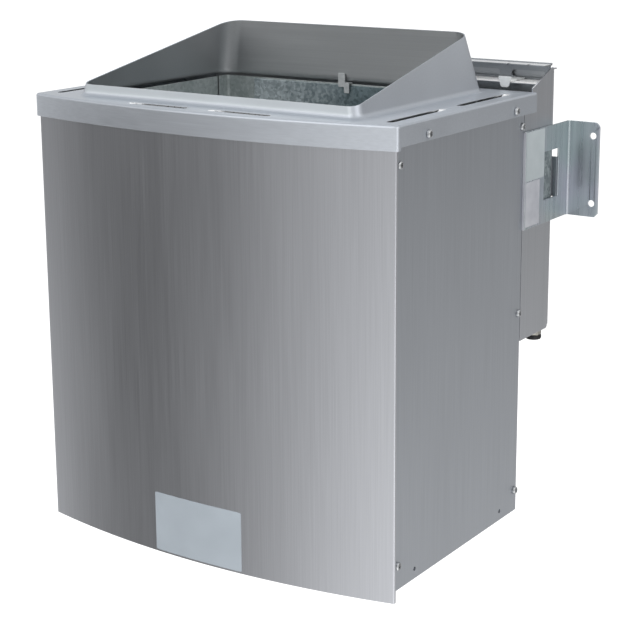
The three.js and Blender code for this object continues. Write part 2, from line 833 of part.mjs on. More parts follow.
// Slotted baffle: an upright sheet with a row of slots and a notched flange folded forward over the casing
function slottedBaffle() {
  const flangeUnder = baffleTop - sheet;
  const slotPitch = baffleSlotLength + baffleSlotBridge;
  const slotCount = Math.floor((2 * (innerHalf - baffleSlotMargin) + baffleSlotBridge) / slotPitch);
  const slots = Array.from({ length: slotCount }, (_, i) => {
    const x = (i - (slotCount - 1) / 2) * slotPitch;
    return slotOutline(x, baffleTop - baffleSlotDrop, baffleSlotLength, baffleSlotWidth);
  });
  const upright = withHoles(rectangle(-innerHalf, innerHalf, baffleTop - baffleHeight, baffleTop), ...slots);
  const flangeFront = baffleRear - baffleFlange;
  const flange = block(-sideHalf, sideHalf, flangeFront, baffleRear, flangeUnder, baffleTop);
  const notches = notchInsets.flatMap((inset) => [sideHalf - inset, inset - sideHalf]).map((x) =>
    block(
      x - notchWidth / 2, x + notchWidth / 2, flangeFront - sheet, flangeFront + notchDepth,
      flangeUnder - sheet, baffleTop + sheet));
  return cut(join(alongDepth(upright, baffleRear - sheet, baffleRear), flange), ...notches);
}

// Heat shields: two upright sheets on the tray's roof, back to back across a slit, with flanges pointing away
function frontShield() {
  const low = trayTop + gap;
  const upright = shieldFront + shieldFlange;
  const profile = bentSheet([[upright, low], [upright, shieldTop], [shieldFront, shieldTop]], sheet);
  return acrossWidth(profile, -innerHalf, innerHalf);
}

function rearShield() {
  const low = trayTop + gap;
  const upright = shieldRear - shieldFlange;
  const profile = bentSheet([[shieldRear, shieldTop], [upright, shieldTop], [upright, low]], sheet);
  return acrossWidth(profile, -innerHalf, innerHalf);
}

// Shield clip: a strap across both flanges with an upright face plate, chamfered below
function shieldClip(x) {
  const low = shieldTop + gap;
  const front = shieldFront - gap - sheet;
  const half = shieldClipWidth / 2;
  const strap = block(x - half, x + half, front, shieldRear, low, low + sheet);
  const facePlate = outline([
    [x - half, low + shieldClipRise], [x - half, low - shieldClipDrop, shieldClipChamfer],
    [x + half, low - shieldClipDrop, shieldClipChamfer], [x + half, low + shieldClipRise]]);
  return join(strap, alongDepth(facePlate, front, front + sheet));
}

// Chamber clip: hooked over the chamber's rear wall, with a leg that stands up in front of the hopper
function chamberClip() {
  const left = clipSpot - clipWidth / 2;
  const right = clipSpot + clipWidth / 2;
  const legBack = chamberRear - clipStandOff;
  const outer = chamberRear + chamberSheet + gap + sheet;
  const bridgeTop = chamberTop + gap + sheet;
  const face = outline([
    [left, chamberTop + clipLegRise], [left, chamberTop - clipLegDrop],
    [right - clipTabWidth, chamberTop - clipLegDrop], [right - clipTabWidth, chamberTop - clipTabDrop],
    [right, chamberTop - clipTabDrop], [right, bridgeTop],
    [left + clipLegWidth, bridgeTop], [left + clipLegWidth, chamberTop + clipLegRise]]);
  const hook = [[outer, bridgeTop - clipHook], [outer, bridgeTop], [legBack - sheet, bridgeTop]];
  return join(alongDepth(face, legBack - sheet, legBack), acrossWidth(bentSheet(hook, sheet), left, right));
}

// Terminal block: a ceramic comb with one recess for each pole
function terminalBlock() {
  const length = poleCount * polePitch + poleWall;
  const start = blockSpot - length / 2;
  const front = trayFront + sheet + gap;
  const rear = front + blockDepth;
  const low = terminalHeight - blockHeight / 2;
  const high = terminalHeight + blockHeight / 2;
  const recesses = Array.from({ length: poleCount }, (_, i) => {
    const x = start + poleWall + i * polePitch;
    const width = polePitch - poleWall;
    return block(x, x + width, rear - blockRecess, rear + blockRecess, low - poleWall, high + poleWall);
  });
  return cut(block(start, start + length, front, rear, low, high), ...recesses);
}

function earthStud() {
  const shank = disc(studSpot, terminalHeight, studRadius);
  const nut = disc(studSpot, terminalHeight, studNutRadius, hexSides);
  const nutFront = trayFront + sheet + gap;
  return join(
    alongDepth(shank, trayFront - sheet, trayFront + studLength),
    alongDepth(nut, nutFront, nutFront + studNutHeight));
}

// Cable gland: a hexagon and threaded stub under the lid, a lock nut inside and a dome nut below
const glandTop = lidBottom - gap;
const glandBottom = glandTop - glandHexHeight;

function glandBody() {
  const hexagon = withHoles(glandRound(glandHex, hexSides), glandRound(glandBore));
  const stub = withHoles(glandRound(glandThread), glandRound(glandBore));
  const stubTop = lidBottom + sheet + glandStub;
  return join(raised(hexagon, glandBottom, glandTop), raised(stub, glandBottom, stubTop));
}

function glandLockNut() {
  const nut = withHoles(glandRound(glandHex, hexSides), glandRound(glandThread + gap));
  const low = lidBottom + sheet + gap;
  return raised(nut, low, low + lockNutHeight);
}

function glandDomeNut() {
  const high = glandBottom - gap;
  const low = high - domeNutHeight;
  const outer = glandBore + domeNutWall;
  const profile = [
    [glandBore, low], [outer - domeNutTaper, low], [outer, low + domeNutTaper],
    [outer, high], [glandBore, high], [glandBore, low]].map(([r, z]) => new THREE.Vector2(r, z));
  return new THREE.LatheGeometry(profile, nutSides).rotateX(Math.PI / 2).translate(glandX, glandY, 0);
}

// Wall bracket: an angle with a hook window in the side leg and two holes in the wall leg
function wallBracket() {
  const legEnd = bracketInner + wallLegWidth;
  const angle = [[legEnd, wallPlane], [bracketInner, wallPlane], [bracketInner, bracketFront]];
  const edge = outline([
    [bracketInner - gap, bracketBottom], [legEnd, bracketBottom, wallLegChamfer],
    [legEnd, bracketTop, wallLegRound], [bracketInner - gap, bracketTop]]);
  const holes = [bracketBottom + bracketHoleEnd, bracketTop - bracketHoleEnd].map((z) => {
    const hole = disc(legEnd - bracketHoleInset, z, bracketHoleRadius, nutSides);
    return alongDepth(hole, wallPlane - 2 * bracketSheet, wallPlane + bracketSheet);
  });
  const window = acrossWidth(
    rectangle(casingRear - windowAhead, casingRear + windowBehind, windowBottom, windowBottom + windowHeight),
    bracketInner - bracketSheet, bracketOuter + bracketSheet);
  const trimmed = common(
    raised(bentSheet(angle, bracketSheet), bracketBottom, bracketTop),
    alongDepth(edge, bracketFront - gap, wallPlane + gap));
  return cut(trimmed, window, ...holes);
}

// Hook tongue: a thick tab on the casing's back that reaches out through the bracket's window
function hookTongue() {
  const front = casingRear + sheet + 2 * gap;
  const low = windowBottom + gap;
  const high = windowBottom + windowHeight - hookLift;
  const tab = rectangle(sideHalf - tongueRoot, bracketOuter + tongueReach, low, high);
  return alongDepth(tab, front, front + tongueSheet);
}

// Pan-head screws, all pointing inwards through the sides
function screw(face) {
  const profile = [
    [0, -screwLength], [screwRadius, -screwLength], [screwRadius, gap], [screwHead, gap],
    [screwHead, gap + screwRimHeight], [screwCrown, gap + screwCrownHeight],
    [0, gap + screwHeadHeight]].map(([r, along]) => new THREE.Vector2(r, along));
  return new THREE.LatheGeometry(profile, screwSides).rotateZ(-Math.PI / 2).translate(face, 0, 0);
}

// Assembly
const part = new THREE.Group();
part.name = "sauna_heater";

const heater = new THREE.Group();
heater.position.set(0, -wallPlane, -bracketMiddle);
part.add(heater);

heater.add(
  piece("front_panel", frontPanel(), brushedStainless()),
  piece("right_side_panel", sidePanel(), brushedStainless()),
  piece("left_side_panel", mirrored(sidePanel()), brushedStainless()),
  piece("top_cover", topCover(), brushedStainless()),
  piece("stone_chamber", stoneChamber(), galvanised()),
  piece("chamber_liner", chamberLiner(), galvanised()),
  piece("chamber_clip", chamberClip(), plainStainless()),
  piece("front_chamber_rail", chamberRail(chamberFront - chamberSheet, -1), galvanised()),
  piece("rear_chamber_rail", chamberRail(chamberRear + chamberSheet, 1), galvanised()),
  piece("lower_rear_rail", lowerRearRail(), galvanised()),
  piece("stone_grate", stoneGrate(), plainStainless()),
  piece("element_carrier", elementCarrier(), plainStainless()),
  piece("right_casing_side", casingSide(), plainStainless()),
  piece("left_casing_side", mirrored(casingSide()), plainStainless()),
  piece("casing_back_plate", casingBackPlate(), plainStainless()),
  piece("casing_bottom_lid", casingBottomLid(), plainStainless()),
  piece("terminal_tray", terminalTray(), galvanised()),
  piece("slotted_baffle", slottedBaffle(), plainStainless()),
  piece("front_heat_shield", frontShield(), plainStainless()),
  piece("rear_heat_shield", rearShield(), plainStainless()),
  piece("right_shield_clip", shieldClip(sideHalf - shieldClipInset), zincPlate()),
  piece("left_shield_clip", shieldClip(shieldClipInset - sideHalf), zincPlate()),
  piece("terminal_block", terminalBlock(), ceramic()),
  piece("earth_stud", earthStud(), brass()),
  piece("gland_body", glandBody(), nickel()),
  piece("gland_lock_nut", glandLockNut(), nickel()),
  piece("gland_dome_nut", glandDomeNut(), blackNylon()),
  piece("right_wall_bracket", wallBracket(), zincPlate()),
  piece("left_wall_bracket", mirrored(wallBracket()), zincPlate()),
  piece("right_hook_tongue", hookTongue(), zincPlate()),
  piece("left_hook_tongue", mirrored(hookTongue()), zincPlate()));

elementSpots.forEach((x, i) => {
  heater.add(piece(`heating_element_${i + 1}`, heatingElement(x), elementSheath()));
});

const rearScrewHeights = [lowScrewHeight, ...casingScrewHeights];
const screwPlaces = {
  cover_screw: { face: coverHalf, spots: coverScrewSpots.map((y) => [y, coverScrewHeight]) },
  rear_edge_screw: { face: sideHalf, spots: rearScrewHeights.map((z) => [rearScrewY, z]) },
  front_edge_screw: { face: sideHalf, spots: frontScrewHeights.map((z) => [frontScrewY, z]) },
};

for (const [name, { face, spots }] of Object.entries(screwPlaces)) {
  spots.forEach(([y, z], i) => {
    const right = screw(face).translate(0, y, z);
    heater.add(piece(`right_${name}_${i + 1}`, right, screwSteel()));
    heater.add(piece(`left_${name}_${i + 1}`, mirrored(right), screwSteel()));
  });
}

export default part;
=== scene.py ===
import bpy
import bmesh
import json
import math
from mathutils import Matrix, Vector

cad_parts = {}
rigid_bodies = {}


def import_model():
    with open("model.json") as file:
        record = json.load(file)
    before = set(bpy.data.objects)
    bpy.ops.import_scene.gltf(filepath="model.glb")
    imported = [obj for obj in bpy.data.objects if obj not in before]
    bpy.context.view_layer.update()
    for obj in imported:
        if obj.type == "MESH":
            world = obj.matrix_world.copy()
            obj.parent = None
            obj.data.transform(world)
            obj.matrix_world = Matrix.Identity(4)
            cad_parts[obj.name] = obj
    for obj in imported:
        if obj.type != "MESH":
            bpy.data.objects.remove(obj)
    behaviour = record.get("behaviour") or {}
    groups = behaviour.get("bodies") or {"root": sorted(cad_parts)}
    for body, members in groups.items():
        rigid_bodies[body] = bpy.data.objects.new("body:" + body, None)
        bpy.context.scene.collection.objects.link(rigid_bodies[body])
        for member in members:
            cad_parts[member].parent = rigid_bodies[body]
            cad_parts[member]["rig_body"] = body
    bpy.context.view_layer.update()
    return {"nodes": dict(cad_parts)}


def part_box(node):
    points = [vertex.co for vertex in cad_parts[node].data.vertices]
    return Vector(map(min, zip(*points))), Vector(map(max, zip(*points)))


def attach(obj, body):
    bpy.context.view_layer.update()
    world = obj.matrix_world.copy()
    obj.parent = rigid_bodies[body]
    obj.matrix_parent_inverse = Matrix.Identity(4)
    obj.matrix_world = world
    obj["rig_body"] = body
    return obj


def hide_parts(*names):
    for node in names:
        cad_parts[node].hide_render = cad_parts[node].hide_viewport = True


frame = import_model()
mm = 0.001
print("frame loaded:", len(frame["nodes"]), "nodes")


# helpers for materials

# an sRGB hex value as the linear colour that a socket takes
def linear(hexColour):
    parts = [int(hexColour[i:i + 2], 16) / 255 for i in (1, 3, 5)]
    return [p / 12.92 if p <= 0.04045 else ((p + 0.055) / 1.055) ** 2.4 for p in parts] + [1.0]


# a Mix node has separate sockets for numbers and for colours
numberA, numberB, colourA, colourB, mixedColour = 2, 3, 6, 7, 2


# each input is a value to set or a socket to link from
def addNode(tree, kind, inputs=None, **settings):
    node = tree.nodes.new("ShaderNode" + kind)
    for key, value in settings.items():
        setattr(node, key, value)
    for key, value in (inputs or {}).items():
        if isinstance(value, bpy.types.NodeSocket):
            tree.links.new(value, node.inputs[key])
        else:
            node.inputs[key].default_value = value
    return node


def startMaterial(name, metallic):
    material = bpy.data.materials.new(name)
    material.use_nodes = True
    shader = material.node_tree.nodes["Principled BSDF"]
    shader.inputs["Metallic"].default_value = metallic
    return material, material.node_tree, shader


# coordinates that count grains, from the size of one grain along the part's X, Y and Z in millimetres
def grainCoords(tree, grain):
    place = addNode(tree, "TexCoord")
    scale = [1 / (size * mm) for size in grain]
    counted = addNode(tree, "Mapping", {"Vector": place.outputs["Object"], "Scale": scale})
    return counted.outputs["Vector"]


# how far a point lies along one axis of the part's frame, in millimetres
def placeAlong(tree, axis):
    parts = addNode(tree, "SeparateXYZ", {"Vector": grainCoords(tree, (1.0, 1.0, 1.0))})
    return parts.outputs[axis]


# 1 where the surface's direction along an axis has reached high, 0 where it is still at low
def facingShare(tree, axis, low, high):
    facing = addNode(tree, "NewGeometry")
    parts = addNode(tree, "SeparateXYZ", {"Vector": facing.outputs["Normal"]})
    share = addNode(tree, "MapRange", {"Value": parts.outputs[axis], "From Min": low, "From Max": high})
    return share.outputs["Result"]


# one pattern moves colour and roughness between the look's two values, another raises a bump of its depth
def applyLook(tree, shader, look, pattern, relief=None):
    low, high = look["span"]
    spread = addNode(tree, "MapRange", {"Value": pattern, "From Min": low, "From Max": high})
    share = spread.outputs["Result"]
    first, second = [linear(colour) for colour in look["colours"]]
    mixed = addNode(tree, "Mix", {"Factor": share, colourA: first, colourB: second}, data_type="RGBA")
    tree.links.new(mixed.outputs[mixedColour], shader.inputs["Base Color"])
    smooth, dull = look["rough"]
    rough = addNode(tree, "MapRange", {"Value": share, "To Min": smooth, "To Max": dull})
    tree.links.new(rough.outputs["Result"], shader.inputs["Roughness"])
    if relief is not None:
        bump = addNode(tree, "Bump", {"Height": relief, "Distance": look["depth"] * mm, "Strength": 1.0})
        tree.links.new(bump.outputs["Normal"], shader.inputs["Normal"])


# lays a tone over the shader's colour, in full where share is 1
def coat(tree, shader, share, tone, blend="MIX"):
    colour = shader.inputs["Base Color"]
    mixed = addNode(tree, "Mix", {"Factor": share, colourA: colour.links[0].from_socket, colourB: tone},
                    data_type="RGBA", blend_type=blend)
    tree.links.new(mixed.outputs[mixedColour], colour)


# materials: grains are in millimetres, and a span is the part of a pattern's values that is spread out

# Stainless steel sheet, belt brushed: upright hairlines that smear reflections sideways.
# Real hairlines are about 0.05 mm wide; they are drawn 1.1 mm wide so that they show at this size.
brushedLook = {"colours": ("#bfc1c6", "#cbcdd2"), "rough": (0.30, 0.36), "metallic": 1.0,
               "hairline": (1.1, 1.1, 110.0), "cloud": (70.0, 70.0, 300.0), "cloudShare": 0.3,
               "span": (0.3, 0.7), "depth": 0.0015, "anisotropic": 0.55, "turn": 0.0}

# The cover is cut from the same sheet with its hairlines across the width, so its flange smears light up.
# Its top plate is duller and less metallic, and painted shade darkens its colour. Faces that look down, the
# hopper's inside among them, carry painted shade with a faint warm tint. The hopper's low front wall is paler
# with painted light. They are told apart by the way that they face, and the wall also by its height in the
# part's frame.
coverLook = dict(brushedLook, colours=("#c7ccd3", "#d2d7de"), rough=(0.42, 0.50), hairline=(150.0, 1.3, 1.3),
                 cloud=(300.0, 60.0, 60.0), cloudShare=0.4, depth=0.001, anisotropic=0.6, turn=0.25,
                 plate={"colour": "#d4d7da", "rough": 0.38, "metallic": 0.4, "facing": (0.3, 0.8)},
                 inside={"colour": "#f1eee9", "facing": (-0.1, -0.13)},
                 wall={"colour": "#d9dfe3", "facing": (-0.85, -0.97), "leaning": (0.06, 0.12),
                       "above": (86.0, 88.0)})

# The side panels have the front panel's finish, darker with painted shade
sideLook = dict(brushedLook, colours=("#b6bac0", "#c2c6cc"))

# Stainless steel sheet, cold rolled mill finish: a soft grey sheen with faint rolling lines, drawn wide
rolledLook = dict(brushedLook, colours=("#bbbec2", "#c9cbd0"), rough=(0.30, 0.38), hairline=(4.0, 4.0, 300.0),
                  cloud=(90.0, 90.0, 300.0), cloudShare=0.5, depth=0.001, anisotropic=0.35)


# painted light on the hopper's front wall, painted shade on the top plate and on faces that look down; the
# plate is also made rougher and less metallic
def paintCoverLightAndShade(tree, shader, look):
    plate, inside, wall = look["plate"], look["inside"], look["wall"]
    up = facingShare(tree, "Z", *plate["facing"])
    under = facingShare(tree, "Z", *inside["facing"])
    ahead = facingShare(tree, "Y", *wall["facing"])
    leaning = facingShare(tree, "Z", *wall["leaning"])
    foot, full = wall["above"]
    above = addNode(tree, "MapRange", {"Value": placeAlong(tree, "Z"), "From Min": foot, "From Max": full})
    front = addNode(tree, "Math", {0: ahead, 1: leaning}, operation="MULTIPLY")
    raised = addNode(tree, "Math", {0: front.outputs[0], 1: above.outputs[0]}, operation="MULTIPLY")
    layers = [(raised.outputs[0], wall, "MIX"), (up, plate, "MULTIPLY"), (under, inside, "MULTIPLY")]
    for share, layer, blend in layers:
        coat(tree, shader, share, linear(layer["colour"]), blend)
    brushedRough = shader.inputs["Roughness"].links[0].from_socket
    rough = addNode(tree, "Mix", {"Factor": up, numberA: brushedRough, numberB: plate["rough"]})
    tree.links.new(rough.outputs[0], shader.inputs["Roughness"])
    bare = addNode(tree, "MapRange", {"Value": up, "To Min": look["metallic"], "To Max": plate["metallic"]})
    tree.links.new(bare.outputs[0], shader.inputs["Metallic"])


def brushedStainless(name, look):
    material, tree, shader = startMaterial(name, look["metallic"])
    lines, soft = grainCoords(tree, look["hairline"]), grainCoords(tree, look["cloud"])
    hair = addNode(tree, "TexNoise", {"Vector": lines, "Scale": 1.0, "Detail": 2.0})
    cloud = addNode(tree, "TexNoise", {"Vector": soft, "Scale": 1.0, "Detail": 1.0})
    blend = addNode(tree, "Mix",
                    {"Factor": look["cloudShare"], numberA: hair.outputs[0], numberB: cloud.outputs[0]})
    applyLook(tree, shader, look, blend.outputs[0], hair.outputs[0])
    if "plate" in look:
        paintCoverLightAndShade(tree, shader, look)
    shader.inputs["Anisotropic"].default_value = look["anisotropic"]
    shader.inputs["Anisotropic Rotation"].default_value = look["turn"]
    return material


# Stainless steel sheet behind the stones: uprights darkened with painted shade so that they mirror dimly,
# flanges paled with painted light
shadedSheetLook = {"colours": ("#94989c", "#aeb1b4"), "rough": (0.32, 0.45), "metallic": 0.9,
               "cloud": (30.0, 30.0, 40.0), "span": (0.0, 1.0),
               "flange": {"colour": "#d2d4d6", "metallic": 0.1, "facing": (0.5, 0.9)}}
# the two shields, with painted light white on their tops
shieldLook = dict(shadedSheetLook, colours=("#a0a3a6", "#b8bbbd"),
                  flange=dict(shadedSheetLook["flange"], colour="#ffffff", metallic=0.0))
# the front of the casing's back plate, with lighter painted shade
backLook = dict(shadedSheetLook, colours=("#aaadb0", "#c4c7c9"))


# uprights get a darker colour as painted shade; faces that look up are coated pale as painted light
def shadedSheetWithLitTops(name, look):
    material, tree, shader = startMaterial(name, look["metallic"])
    flange, soft = look["flange"], grainCoords(tree, look["cloud"])
    cloud = addNode(tree, "TexNoise", {"Vector": soft, "Scale": 1.0, "Detail": 3.0})
    applyLook(tree, shader, look, cloud.outputs[0])
    up = facingShare(tree, "Z", *flange["facing"])
    coat(tree, shader, up, linear(flange["colour"]))
    bare = addNode(tree, "MapRange", {"Value": up, "To Min": look["metallic"], "To Max": flange["metallic"]})
    tree.links.new(bare.outputs[0], shader.inputs["Metallic"])
    return material


# Hot-dip galvanised sheet: flat spangle crystals, each with its own grey, and a matt weathered bloom
galvanisedLook = {"colours": ("#aab3b3", "#c7cece"), "rough": (0.38, 0.56), "metallic": 0.75, "spangle": 3.0,
                  "bloom": 30.0, "span": (0.3, 1.5), "depth": 0.004}
# the plates behind the brackets' windows, dark and mottled as painted shade
windowShadeLook = dict(galvanisedLook, colours=("#6c7679", "#acb6b8"), rough=(0.36, 0.54), bloom=9.0, depth=0.005)
# the liner, with painted shade darkest near its middle; reach is along X, from full painted shade to none
linerLook = dict(galvanisedLook, colours=("#98a5ab", "#d7e0e4"), rough=(0.36, 0.54), spangle=2.8, bloom=22.0,
                 depth=0.005, shadeBand={"colour": "#a2aeb1", "middle": 25.0, "reach": (15.0, 115.0)})


# painted shade: full within the near reach of the middle along X, none beyond the far reach
def paintShadeBand(tree, shader, shadeBand):
    near, far = shadeBand["reach"]
    offset = addNode(tree, "Math", {0: placeAlong(tree, "X"), 1: shadeBand["middle"]}, operation="SUBTRACT")
    away = addNode(tree, "Math", {0: offset.outputs[0]}, operation="ABSOLUTE")
    bandShare = addNode(tree, "MapRange", {"Value": away.outputs[0], "From Min": far, "From Max": near})
    coat(tree, shader, bandShare.outputs[0], linear(shadeBand["colour"]), "MULTIPLY")


def galvanisedSheet(name, look):
    material, tree, shader = startMaterial(name, look["metallic"])
    cells, haze = grainCoords(tree, [look["spangle"]] * 3), grainCoords(tree, [look["bloom"]] * 3)
    warp = addNode(tree, "TexNoise", {"Vector": cells, "Scale": 1.2, "Detail": 2.0})
    bent = addNode(tree, "VectorMath", {0: cells, 1: warp.outputs["Color"]}, operation="ADD")
    spangle = addNode(tree, "TexVoronoi", {"Vector": bent.outputs[0], "Scale": 1.0})
    grey = addNode(tree, "SeparateColor", {"Color": spangle.outputs["Color"]})
    bloom = addNode(tree, "TexNoise", {"Vector": haze, "Scale": 1.0, "Detail": 3.0})
    blend = addNode(tree, "Math", {0: grey.outputs[0], 1: bloom.outputs[0]}, operation="ADD")
    applyLook(tree, shader, look, blend.outputs[0], grey.outputs[1])
    if "shadeBand" in look:
        paintShadeBand(tree, shader, look["shadeBand"])
    return material


# Zinc plated steel, blue passivated: bright, with a cast of green and lilac by turns, and rolling lines.
# Real lines are about 0.3 mm apart; they are drawn 3 mm wide so that they show at this size.
zincLook = {"colours": ("#acb5bb", "#ccd4d8"), "rough": (0.24, 0.38), "metallic": 0.85,
            "line": (3.0, 3.0, 160.0), "span": (0.3, 0.7), "depth": 0.003, "cast": ("#b0bebf", "#c0bfcc"),
            "castShare": 0.45, "castSpan": (0.35, 0.65), "cloud": 38.0}
# the hook tongues, darkened with painted shade, so that only their rounded edges catch the light
shadedZincLook = dict(zincLook, colours=("#757c81", "#959ca1"), cast=("#7a8688", "#898794"))


def zincPlate(name, look):
    material, tree, shader = startMaterial(name, look["metallic"])
    lines, haze = grainCoords(tree, look["line"]), grainCoords(tree, [look["cloud"]] * 3)
    drawn = addNode(tree, "TexNoise", {"Vector": lines, "Scale": 1.0, "Detail": 3.0})
    applyLook(tree, shader, look, drawn.outputs[0], drawn.outputs[0])
    cloud = addNode(tree, "TexNoise", {"Vector": haze, "Scale": 1.0, "Detail": 2.0})
    low, high = look["castSpan"]
    turns = addNode(tree, "MapRange", {"Value": cloud.outputs[0], "From Min": low, "From Max": high})
    green, lilac = [linear(cast) for cast in look["cast"]]
    cast = addNode(tree, "Mix", {"Factor": turns.outputs[0], colourA: green, colourB: lilac},
                   data_type="RGBA")
    coat(tree, shader, look["castShare"], cast.outputs[mixedColour])
    return material


# Everything else is a small piece with one even grain: turned, moulded, fired, coated or burnished.
# Its grain is drawn coarser than the real one, so that it shows.
smallSpan = (0.32, 0.68)
smallLooks = {
    # cold-headed stainless screws, tumbled bright
    "stainlessScrewTumbled":
        dict(colours=("#a9abad", "#c6c8ca"), rough=(0.16, 0.26), grain=2.0, metallic=1.0, depth=0.002),
    # bright zinc on small stamped clips, pale and soft
    "steelZincBright":
        dict(colours=("#eef1f1", "#fafcfc"), rough=(0.36, 0.5), grain=4.0, metallic=0.15, depth=0.002),
    # stainless sheet with painted highlight, smooth and bright
    "stainlessPaintedHighlight":
        dict(colours=("#e6e8ea", "#f6f7f8"), rough=(0.25, 0.35), grain=4.0, metallic=0.5, depth=0.001),
    # nickel-plated brass, turned: warm grey and bright
    "nickelPlatedBrassTurned":
        dict(colours=("#a5a39c", "#c4c2bb"), rough=(0.2, 0.3), grain=2.5, metallic=1.0, depth=0.002),
    # moulded black nylon with a fine spark-eroded skin
    "nylonMouldedBlack":
        dict(colours=("#121314", "#1f2022"), rough=(0.45, 0.6), grain=1.2, metallic=0.0, depth=0.01),
    # nickel alloy tube, stained straw and brown by heat
    "alloyTubeHeatStained":
        dict(colours=("#4a4741", "#6e6f6c"), rough=(0.38, 0.55), grain=14.0, metallic=0.85, depth=0.004),
    # fired steatite, off-white and dry
    "steatiteFired":
        dict(colours=("#d9d4c6", "#ebe7dc"), rough=(0.5, 0.65), grain=3.0, metallic=0.0, depth=0.01),
    # turned brass, yellow and bright
    "brassTurned":
        dict(colours=("#b08d46", "#ccb070"), rough=(0.22, 0.34), grain=2.5, metallic=1.0, depth=0.002),
    # plain silver polyester foil with a satin varnish, even and soft
    "polyesterFoilSatin":
        dict(colours=("#c6d0d9", "#cad4dd"), rough=(0.38, 0.44), grain=30.0, metallic=0.4, depth=0.0005),
    # the same foil with less silver in it, flat and pale against zinc
    "polyesterFoilPale":
        dict(colours=("#b6bfc2", "#c2cacd"), rough=(0.38, 0.44), grain=30.0, metallic=0.25, depth=0.0005),
    # clear protective film over zinc, milky and a little lilac
    "filmMilky":
        dict(colours=("#b0b2ba", "#c2c4ca"), rough=(0.3, 0.4), grain=18.0, metallic=0.15, depth=0.001),
    # sheared edge of zinc plated sheet, torn matt and pale
    "cutEdge":
        dict(colours=("#c6cacc", "#dadddf"), rough=(0.5, 0.6), grain=1.5, metallic=0.2, depth=0.004),
    # stainless spring strip, satin and pale
    "stainlessStripSatin":
        dict(colours=("#bfc3c5", "#d2d5d7"), rough=(0.4, 0.5), grain=5.0, metallic=0.35, depth=0.001),
}


def smallFinish(name, look):
    material, tree, shader = startMaterial(name, look["metallic"])
    coords = grainCoords(tree, [look["grain"]] * 3)
    speck = addNode(tree, "TexNoise", {"Vector": coords, "Scale": 1.0, "Detail": 3.0})
    applyLook(tree, shader, dict(look, span=smallSpan), speck.outputs[0], speck.outputs[0])
    return material


brushed = brushedStainless("stainlessSheetBrushed", brushedLook)
drawnCover = brushedStainless("stainlessSheetBrushedAcross", coverLook)
rolled = brushedStainless("stainlessSheetRolled", rolledLook)
brushedSide = brushedStainless("stainlessSheetBrushedDarker", sideLook)
shadedSheet = shadedSheetWithLitTops("stainlessSheetPaintedShade", shadedSheetLook)
shielding = shadedSheetWithLitTops("stainlessSheetPaintedLightTops", shieldLook)
backing = shadedSheetWithLitTops("stainlessSheetBackPaintedShade", backLook)
galvanised = galvanisedSheet("steelSheetGalvanised", galvanisedLook)
spangled = galvanisedSheet("steelSheetGalvanisedSpangled", linerLook)
windowShadeSheet = galvanisedSheet("steelSheetGalvanisedPaintedShade", windowShadeLook)
zinc = zincPlate("steelZincPlated", zincLook)
shadedZinc = zincPlate("steelZincPaintedShade", shadedZincLook)
small = {name: smallFinish(name, look) for name, look in smallLooks.items()}


# helpers for meshes

# sizes that several pieces share, in millimetres
panelHalf = 202.0  # half the front panel's width
bulge = 23.0  # how far its middle stands out before its corners
bulgeRadius = (panelHalf ** 2 + bulge ** 2) / (2 * bulge)
bulgeCentre = bulgeRadius - bulge
sheetGauge = 1.2

# the heater's own frame: Y back from the casing's front corners, Z up from the front panel's lower edge
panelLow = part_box("front_panel")[0]
datum = Vector((0, panelLow.y + bulge * mm, panelLow.z))

# points closer than weld are one; angles in degrees
meshSpec = {"weld": 0.002, "creaseAngle": 38, "edgeAngle": 50, "edgeSegments": 2, "flatAngle": 0.4}


def at(x, y, z):
    return datum + Vector((x, y, z)) * mm


def localBox(node):
    low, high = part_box(node)
    return (low - datum) / mm, (high - datum) / mm


def settle(obj):
    bpy.context.view_layer.update()
    done = bpy.data.meshes.new_from_object(obj.evaluated_get(bpy.context.evaluated_depsgraph_get()))
    obj.modifiers.clear()
    obj.data = done


# bends and small rounds run smooth, folds stay crisp
def shade(obj):
    obj.data.shade_smooth()
    obj.data.set_sharp_from_angle(angle=math.radians(meshSpec["creaseAngle"]))
    obj.modifiers.new("flatFaces", "WEIGHTED_NORMAL").keep_sharp = True


# a sheet has a gauge and the way its outer face looks, and a rounded piece has an edge radius
def addPiece(name, bm, material, body, nodes=(), gauge=0.0, outward=None, edge=0.0):
    bmesh.ops.remove_doubles(bm, verts=bm.verts, dist=meshSpec["weld"] * mm)
    bmesh.ops.recalc_face_normals(bm, faces=bm.faces)
    if outward is not None:
        widest = max(bm.faces, key=lambda face: face.calc_area())
        if widest.normal.dot(Vector(outward)) < 0:
            bmesh.ops.reverse_faces(bm, faces=bm.faces)
    mesh = bpy.data.meshes.new(name)
    bm.to_mesh(mesh)
    bm.free()
    obj = bpy.data.objects.new(name, mesh)
    bpy.context.scene.collection.objects.link(obj)
    mesh.materials.append(material)
    if gauge:
        solid = obj.modifiers.new("gauge", "SOLIDIFY")
        solid.thickness = gauge * mm
        solid.offset = -1
        solid.use_even_offset = True
    if edge:
        rounding = obj.modifiers.new("edge", "BEVEL")
        rounding.width = edge * mm
        rounding.segments = meshSpec["edgeSegments"]
        rounding.limit_method = "ANGLE"
        rounding.angle_limit = math.radians(meshSpec["edgeAngle"])
    if gauge or edge:
        settle(obj)
    shade(obj)
    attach(obj, body)
    if nodes:
        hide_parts(*nodes)
    return obj


# gives the faces that pass a test a finish of their own
def refinish(obj, material, passes):
    obj.data.materials.append(material)
    for face in obj.data.polygons:
        if passes(face):
            face.material_index = 1


def loopEdges(bm, points):
    verts = [bm.verts.new(p) for p in points]
    return verts, [bm.edges.new(pair) for pair in zip(verts, verts[1:] + verts[:1])]


def bridge(bm, first, second, closed=True):
    count = len(first)
    for i in range(count if closed else count - 1):
        j = (i + 1) % count
        bm.faces.new((first[i], first[j], second[j], second[i]))


